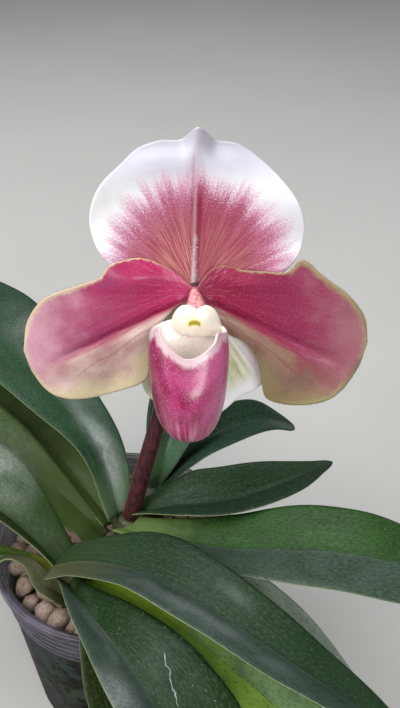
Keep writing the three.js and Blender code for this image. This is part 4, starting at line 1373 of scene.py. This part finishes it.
# The pouch's rings from its rim to its toe: the height of the middle, half width, half depth, and how far
# the middle stands forward
POUCH = {"x": -1.9, "wall": 1}
POUCH_RINGS = [
    (-12, 12.2, 9.6, 12.5), (-18, 12.6, 10.6, 13.2), (-25, 12.2, 11.4, 14), (-32, 11.2, 11, 14.4),
    (-37.5, 9.6, 9.6, 14.4), (-41.4, 7.6, 7.8, 14.2), (-43.9, 5, 5.2, 14), (-44.8, 2, 2.2, 13.8),
]


def rim_lift(angle):
    """How far the rim stands above the top ring: low in front, with an ear on each side and a tongue at the
    back."""
    left = angle < math.pi
    turned = np.minimum(angle, math.tau - angle)
    front = -7.4 * bump(turned, 0, np.where(left, 0.8, 0.64))
    sides = -1 * bump(turned, math.pi / 2, 0.4)
    ears = 1.6 * bump(turned, 1.12, 0.2) * np.where(left, 0.5, 1)
    tongue = 1.4 * smooth(turned, 2, math.pi) + 4.3 * smooth(turned, 2.7, math.pi)
    return 2.6 + front + sides + ears + tongue


def pouch_point(angle, k, inset):
    """A point of the pouch's wall at ring k, which may lie between two rings, pushed in by inset. Inside,
    the back wall swells forward and the ears' tips curl in."""
    rings = np.array(POUCH_RINGS, float)
    place = np.clip(k, 0, len(rings) - 1) / (len(rings) - 1)
    height, half_width, half_depth, forward = np.moveaxis(outline_at(rings, place), -1, 0)
    turned = np.minimum(angle, math.tau - angle)
    curl = 1.8 * bump(turned, 1.12, 0.28) * bump(k, 0, 0.5)
    swell = 3.4 * bump(turned, math.pi, 0.9) * bump(k, 0.9, 0.8) * (inset >= POUCH["wall"])
    x = POUCH["x"] + (half_width - inset - curl) * np.sin(angle)
    y = height + rim_lift(angle) * (1 - smooth(k, 0, 4)) + inset * smooth(k, 4, 5)
    return together(x, y, forward + (half_depth - inset - swell) * np.cos(angle))


def pouch_look():
    """Glossy magenta, finely speckled, with painted shade on the left and painted light on the right, paler
    and streaked at the toe, with a darker middle line and a whitish rim."""
    look = Look("pouch_look", Coat_Weight=0.55, Coat_Roughness=0.2, **flesh(0.1, 0.5))
    angle, k, _ = look.split(look.uv("rays"))
    size = look.uv("flat")
    streak = look.noise(look.join(angle * 46, k * 2), 1, 3)
    speck = look.noise(size, 190, 4)
    top = look.mix(look.patches(size, 26, 3, 0.35, 0.65), "#8a0f48", "#a62a66")
    # Painted shade: the left side darker.
    top = look.mix(look.fade(angle, 0.3, 0.46, 0.75), top, "#6c0c34")
    toe = look.mix(look.ramp(streak, 0.38, 0.62), "#a8426c", "#cf8ea0")
    body = look.mix(look.ramp(k + look.sway(streak, 0.1), 0.42, 0.85), top, toe)
    body = look.mix(look.ramp(speck, 0.52, 0.7, 0, 0.3), body, "#dba0bf")
    body = look.mix(look.patches(size, 170, 2, 0.56, 0.7, 0.4), body, "#821446")
    # Painted light: the right side lighter.
    body = look.mix(look.ramp(angle, 0.53, 0.63, 0, 0.4), body, "#d67aa6")
    middle = look.near(angle, 0.488, 0.014) * look.ramp(k, 0.3, 0.55, 0.1, 0.5)
    body = look.mix(middle, body, "#8d1848")
    edge = k + look.sway(look.noise(size, 70, 4), 0.012)
    look.colour(look.mix(look.fade(edge, 0.03, 0.085), body, "#ccaeb4"))
    look.roughness(speck, 0.24, 0.42)
    look.relief(streak * 0.6 + speck, 0.15, 0.6)
    return look.material


def pouch_inside_look():
    look = Look("pouch_inside_look", Subsurface_Weight=0.3, Subsurface_Scale=0.003, Roughness=0.4)
    k = look.split(look.uv("rays"))[1]
    speck = look.noise(look.uv("flat"), 120, 3)
    body = look.mix(look.ramp(speck, 0.55, 0.72, 0, 0.5), "#fff7f0", "#e0b0ae")
    look.colour(look.mix(look.ramp(k, 0.3, 0.8), body, "#ecccc0"))
    look.relief(speck, 0.12, 0.6)
    return look.material


def pouch_layers(levels, rim_steps):
    """Up the outside, over the rounded rim and down the inside: the ring, how far in, and how far up the
    rim is."""
    wall = POUCH["wall"]
    layers = [(k, 0, 0) for k in levels[::-1]]
    for i in range(1, rim_steps):
        turn = math.pi * i / rim_steps
        layers.append((0, wall * (1 - math.cos(turn)) / 2, math.sin(turn)))
    return layers + [(k, wall, 0) for k in levels]


def make_pouch():
    sides, steps, rim_steps, rim_height = 120, 70, 8, 0.7
    last = len(POUCH_RINGS) - 1
    angles = all_round(sides)
    turned = (angles / math.tau + 0.5) % 1
    rings, rays, flats = [], [], []
    for k, inset, lip in pouch_layers(last * np.linspace(0, 1, steps), rim_steps):
        ring = pouch_point(angles, np.full(sides, float(k)), inset)
        ring[:, 1] += rim_height * lip
        rings.append(in_world(ring))
        down_wall = np.full(sides, k / last)
        rays.append(together(turned, down_wall))
        flats.append(together(turned * 0.75, down_wall * 0.35 + (0.5 if inset else 0)))
    points, faces = capped(rings)
    ray_toes, flat_toes = [(0.5, 1), (0.5, 1)], [(0.4, 0.35), (0.4, 0.85)]
    maps = {"rays": np.vstack([*rays, ray_toes]), "flat": np.vstack([*flats, flat_toes])}
    outer = (steps + rim_steps // 2) * sides
    kinds = [0 if min(face) < outer and len(points) - 1 not in face else 1 for face in faces]
    piece = make_object("pouch_skin", points, faces, [pouch_look(), pouch_inside_look()], kinds, maps)
    settle(outward(piece), "pouch")


STAMINODE = [
    (0.6, -3.2), (-1.8, -2), (-4.6, -2.6), (-6.8, -5.4), (-7.3, -8.6), (-6, -11), (-4.2, -11.9),
    (-2.6, -11.6), (-0.9, -12.2), (0.7, -11.7), (2.4, -12.3), (4.2, -11.9), (6.4, -12.3), (8.2, -10.6),
    (8, -7.2), (6.3, -3.6), (3.4, -2),
]


def staminode_look():
    """Glossy cream, with a green-yellow arch in a soft halo."""
    look = Look(
        "staminode_look", Roughness=0.3, Coat_Weight=0.6, Coat_Roughness=0.1, Subsurface_Weight=0.3,
        Subsurface_Scale=0.002,
    )
    flat = look.uv("flat")
    x, y = ((side - 0.5) * 100 for side in look.split(flat)[:2])
    body = look.mix(look.noise(flat, 60, 3), "#efe7da", "#e8ddca")
    aside = x + 0.1
    arch = y + aside * aside * 0.2
    halo = look.near(arch, -6.9, 2.2) * look.near(x, -0.1, 3.6)
    body = look.mix(halo * 0.8, body, "#e6e078")
    along_mark = look.fade(look.math("ABSOLUTE", arch + 7.1), 0.4, 1)
    across_mark = look.fade(look.math("ABSOLUTE", aside), 1.5, 2.1)
    look.colour(look.mix(along_mark * across_mark, body, "#a89a06"))
    look.relief(look.noise(flat, 160, 2), 0.08, 0.5)
    return look.material


def make_staminode():
    """A domed shield with a rounded edge and a flat back. Its section is the share of its outline and the
    depth, as a share of its thickness, from the middle of the back round the edge to the middle of the
    front."""
    middle_x, middle_y, thickness, sides = 0.6, -7, 1.4, 96
    closed = np.array(STAMINODE + STAMINODE[:1], float)
    outline = outline_at(closed, np.linspace(0, 1, sides, endpoint=False))
    section = [(0.02, -1), (0.5, -1), (0.86, -1), (0.95, -0.9), (0.99, -0.7)]
    section += [(1, -0.5), (0.99, -0.3), (0.96, -0.12)]
    section += [(share, 0) for share in (0.9, 0.8, 0.7, 0.6, 0.5, 0.4, 0.3, 0.2, 0.1, 0.02)]
    rings, flats = [], []
    for share, depth in section:
        x = lerp(middle_x, outline[:, 0], share)
        y = lerp(middle_y, outline[:, 1], share)
        dome = 12.4 - 0.045 * ((x - middle_x) ** 2 + (y - middle_y) ** 2)
        rings.append(in_world(together(x, y, dome + depth * thickness)))
        flats.append(together(x, y) / 100 + 0.5)
    maps = {"flat": np.vstack([*flats, [[middle_x / 100 + 0.5, middle_y / 100 + 0.5]] * 2])}
    settle(solid("staminode_skin", rings, [staminode_look()], maps), "staminode")


def make_column():
    """The pink boss, a hairy wedge that widens from its point between the petals down to the notch below
    it."""
    look = Look("column_look", Subsurface_Weight=0.12, Subsurface_Scale=0.0015, Roughness=0.45)
    grain = look.noise(look.place(), 800, 3)
    look.colour(look.mix(look.ramp(grain, 0.4, 0.64), "#dca29a", "#c05a72"))
    look.relief(grain, 0.2, 0.6)
    curve = Curve(in_world([(-0.2, 1.2, 1), (-0.1, 0, 3.6), (0.3, -2.6, 6.2), (0.6, -6, 8.4)]))
    rings = tube_rings(curve, lambda t: lerp(0.5, 3.3, smooth(t, -0.2, 0.9)), 30, 40)
    settle(solid("column_skin", rings, [look.material]), "column")
    fuzz = hair_look("column_hair", "#d9708c")
    down("column_down", rings, count=900, length=0.5, material=fuzz, seed=8)


def margin_hairs(name, shape, count, length, material, seed):
    """Hairs that stand out from a petal's lower and upper edge."""
    draw = np.random.default_rng(seed)
    u = 0.06 + 0.93 * draw.random(count)
    side = draw.integers(0, 2, count).astype(float)
    edge, inside = in_world(shape(u, side)), in_world(shape(u, lerp(side, 0.5, 0.08)))
    directions = unit(edge - inside) + 0.6 * (draw.random((count, 3)) - 0.5)
    settle(hairs(name, edge, directions, length * (0.5 + draw.random(count)), 0.04, material))


def rib_hairs():
    """Glistening white hairs along the foot of the dorsal sepal's midrib."""
    draw = np.random.default_rng(21)
    count = 480
    y = 0.4 + 17 * draw.random(count) ** 1.3
    x = 0.026 * y + 0.5 * draw.normal(size=count) - 0.4
    z = dorsal_depth(x, y, np.full(count, 0.4), np.full(count, 0.5)) + PETAL_THICKNESS / 2
    lean_x, lean_y = 0.8 * draw.normal(size=count), 0.4 * draw.normal(size=count)
    lean = together(lean_x, lean_y, np.ones(count)) @ FACING.T
    look = mottled("rib_hair", "#ffffff", "#f1e6f4", 900, Roughness=0.15)
    roots = in_world(together(x, y, z))
    lengths = 0.3 + 0.5 * draw.random(count)
    settle(hairs("rib_down", roots, lean, lengths, 0.07, look))


def make_sheets():
    """The sepals and petals, with the hairs along the petals' edges."""
    back = edge_look("sepal_back", "#d9c3b4", "#c79aa0")
    white = [dorsal_look(), back, edge_look("dorsal_rim", "#e9e5ee", "#d9d0de")]
    shape = spread(DORSAL, dorsal_depth)
    flower_sheet("dorsal_sheet", "dorsal_sepal", DORSAL, shape, (90, 220), white)
    green = green_sepal_look()
    pale = [green, green, edge_look("synsepal_rim", "#dcdccb", "#c9c8ae")]
    shape = spread(SYNSEPAL, synsepal_depth)
    flower_sheet("synsepal_sheet", "synsepal", SYNSEPAL, shape, (60, 150), pale)
    petal_back = edge_look("petal_back", "#c58a92", "#d9b39f")
    petal_rim = edge_look("petal_rim", "#cdbb86", "#a8895c")
    dark = hair_look("margin_hair", "#5a2a3a", "#7c4a4a")
    left, right = between(LEFT_PETAL, 10, petal_depth), between(RIGHT_PETAL, 11, petal_depth)
    for name, outline, shape in (("petal_left", LEFT_PETAL, left), ("petal_right", RIGHT_PETAL, right)):
        materials = [petal_look(name, **PETAL_LOOKS[name]), petal_back, petal_rim]
        flower_sheet(name + "_sheet", name, outline, shape, (150, 90), materials)
    margin_hairs("petal_left_fringe", left, count=900, length=0.45, material=dark, seed=31)
    margin_hairs("petal_right_fringe", right, count=900, length=0.5, material=dark, seed=32)


make_camera()
make_floor()
make_lights()
make_pot()
make_pumice()
make_growths()
make_leaves()
make_stem()
make_sheets()
rib_hairs()
make_pouch()
make_staminode()
make_column()
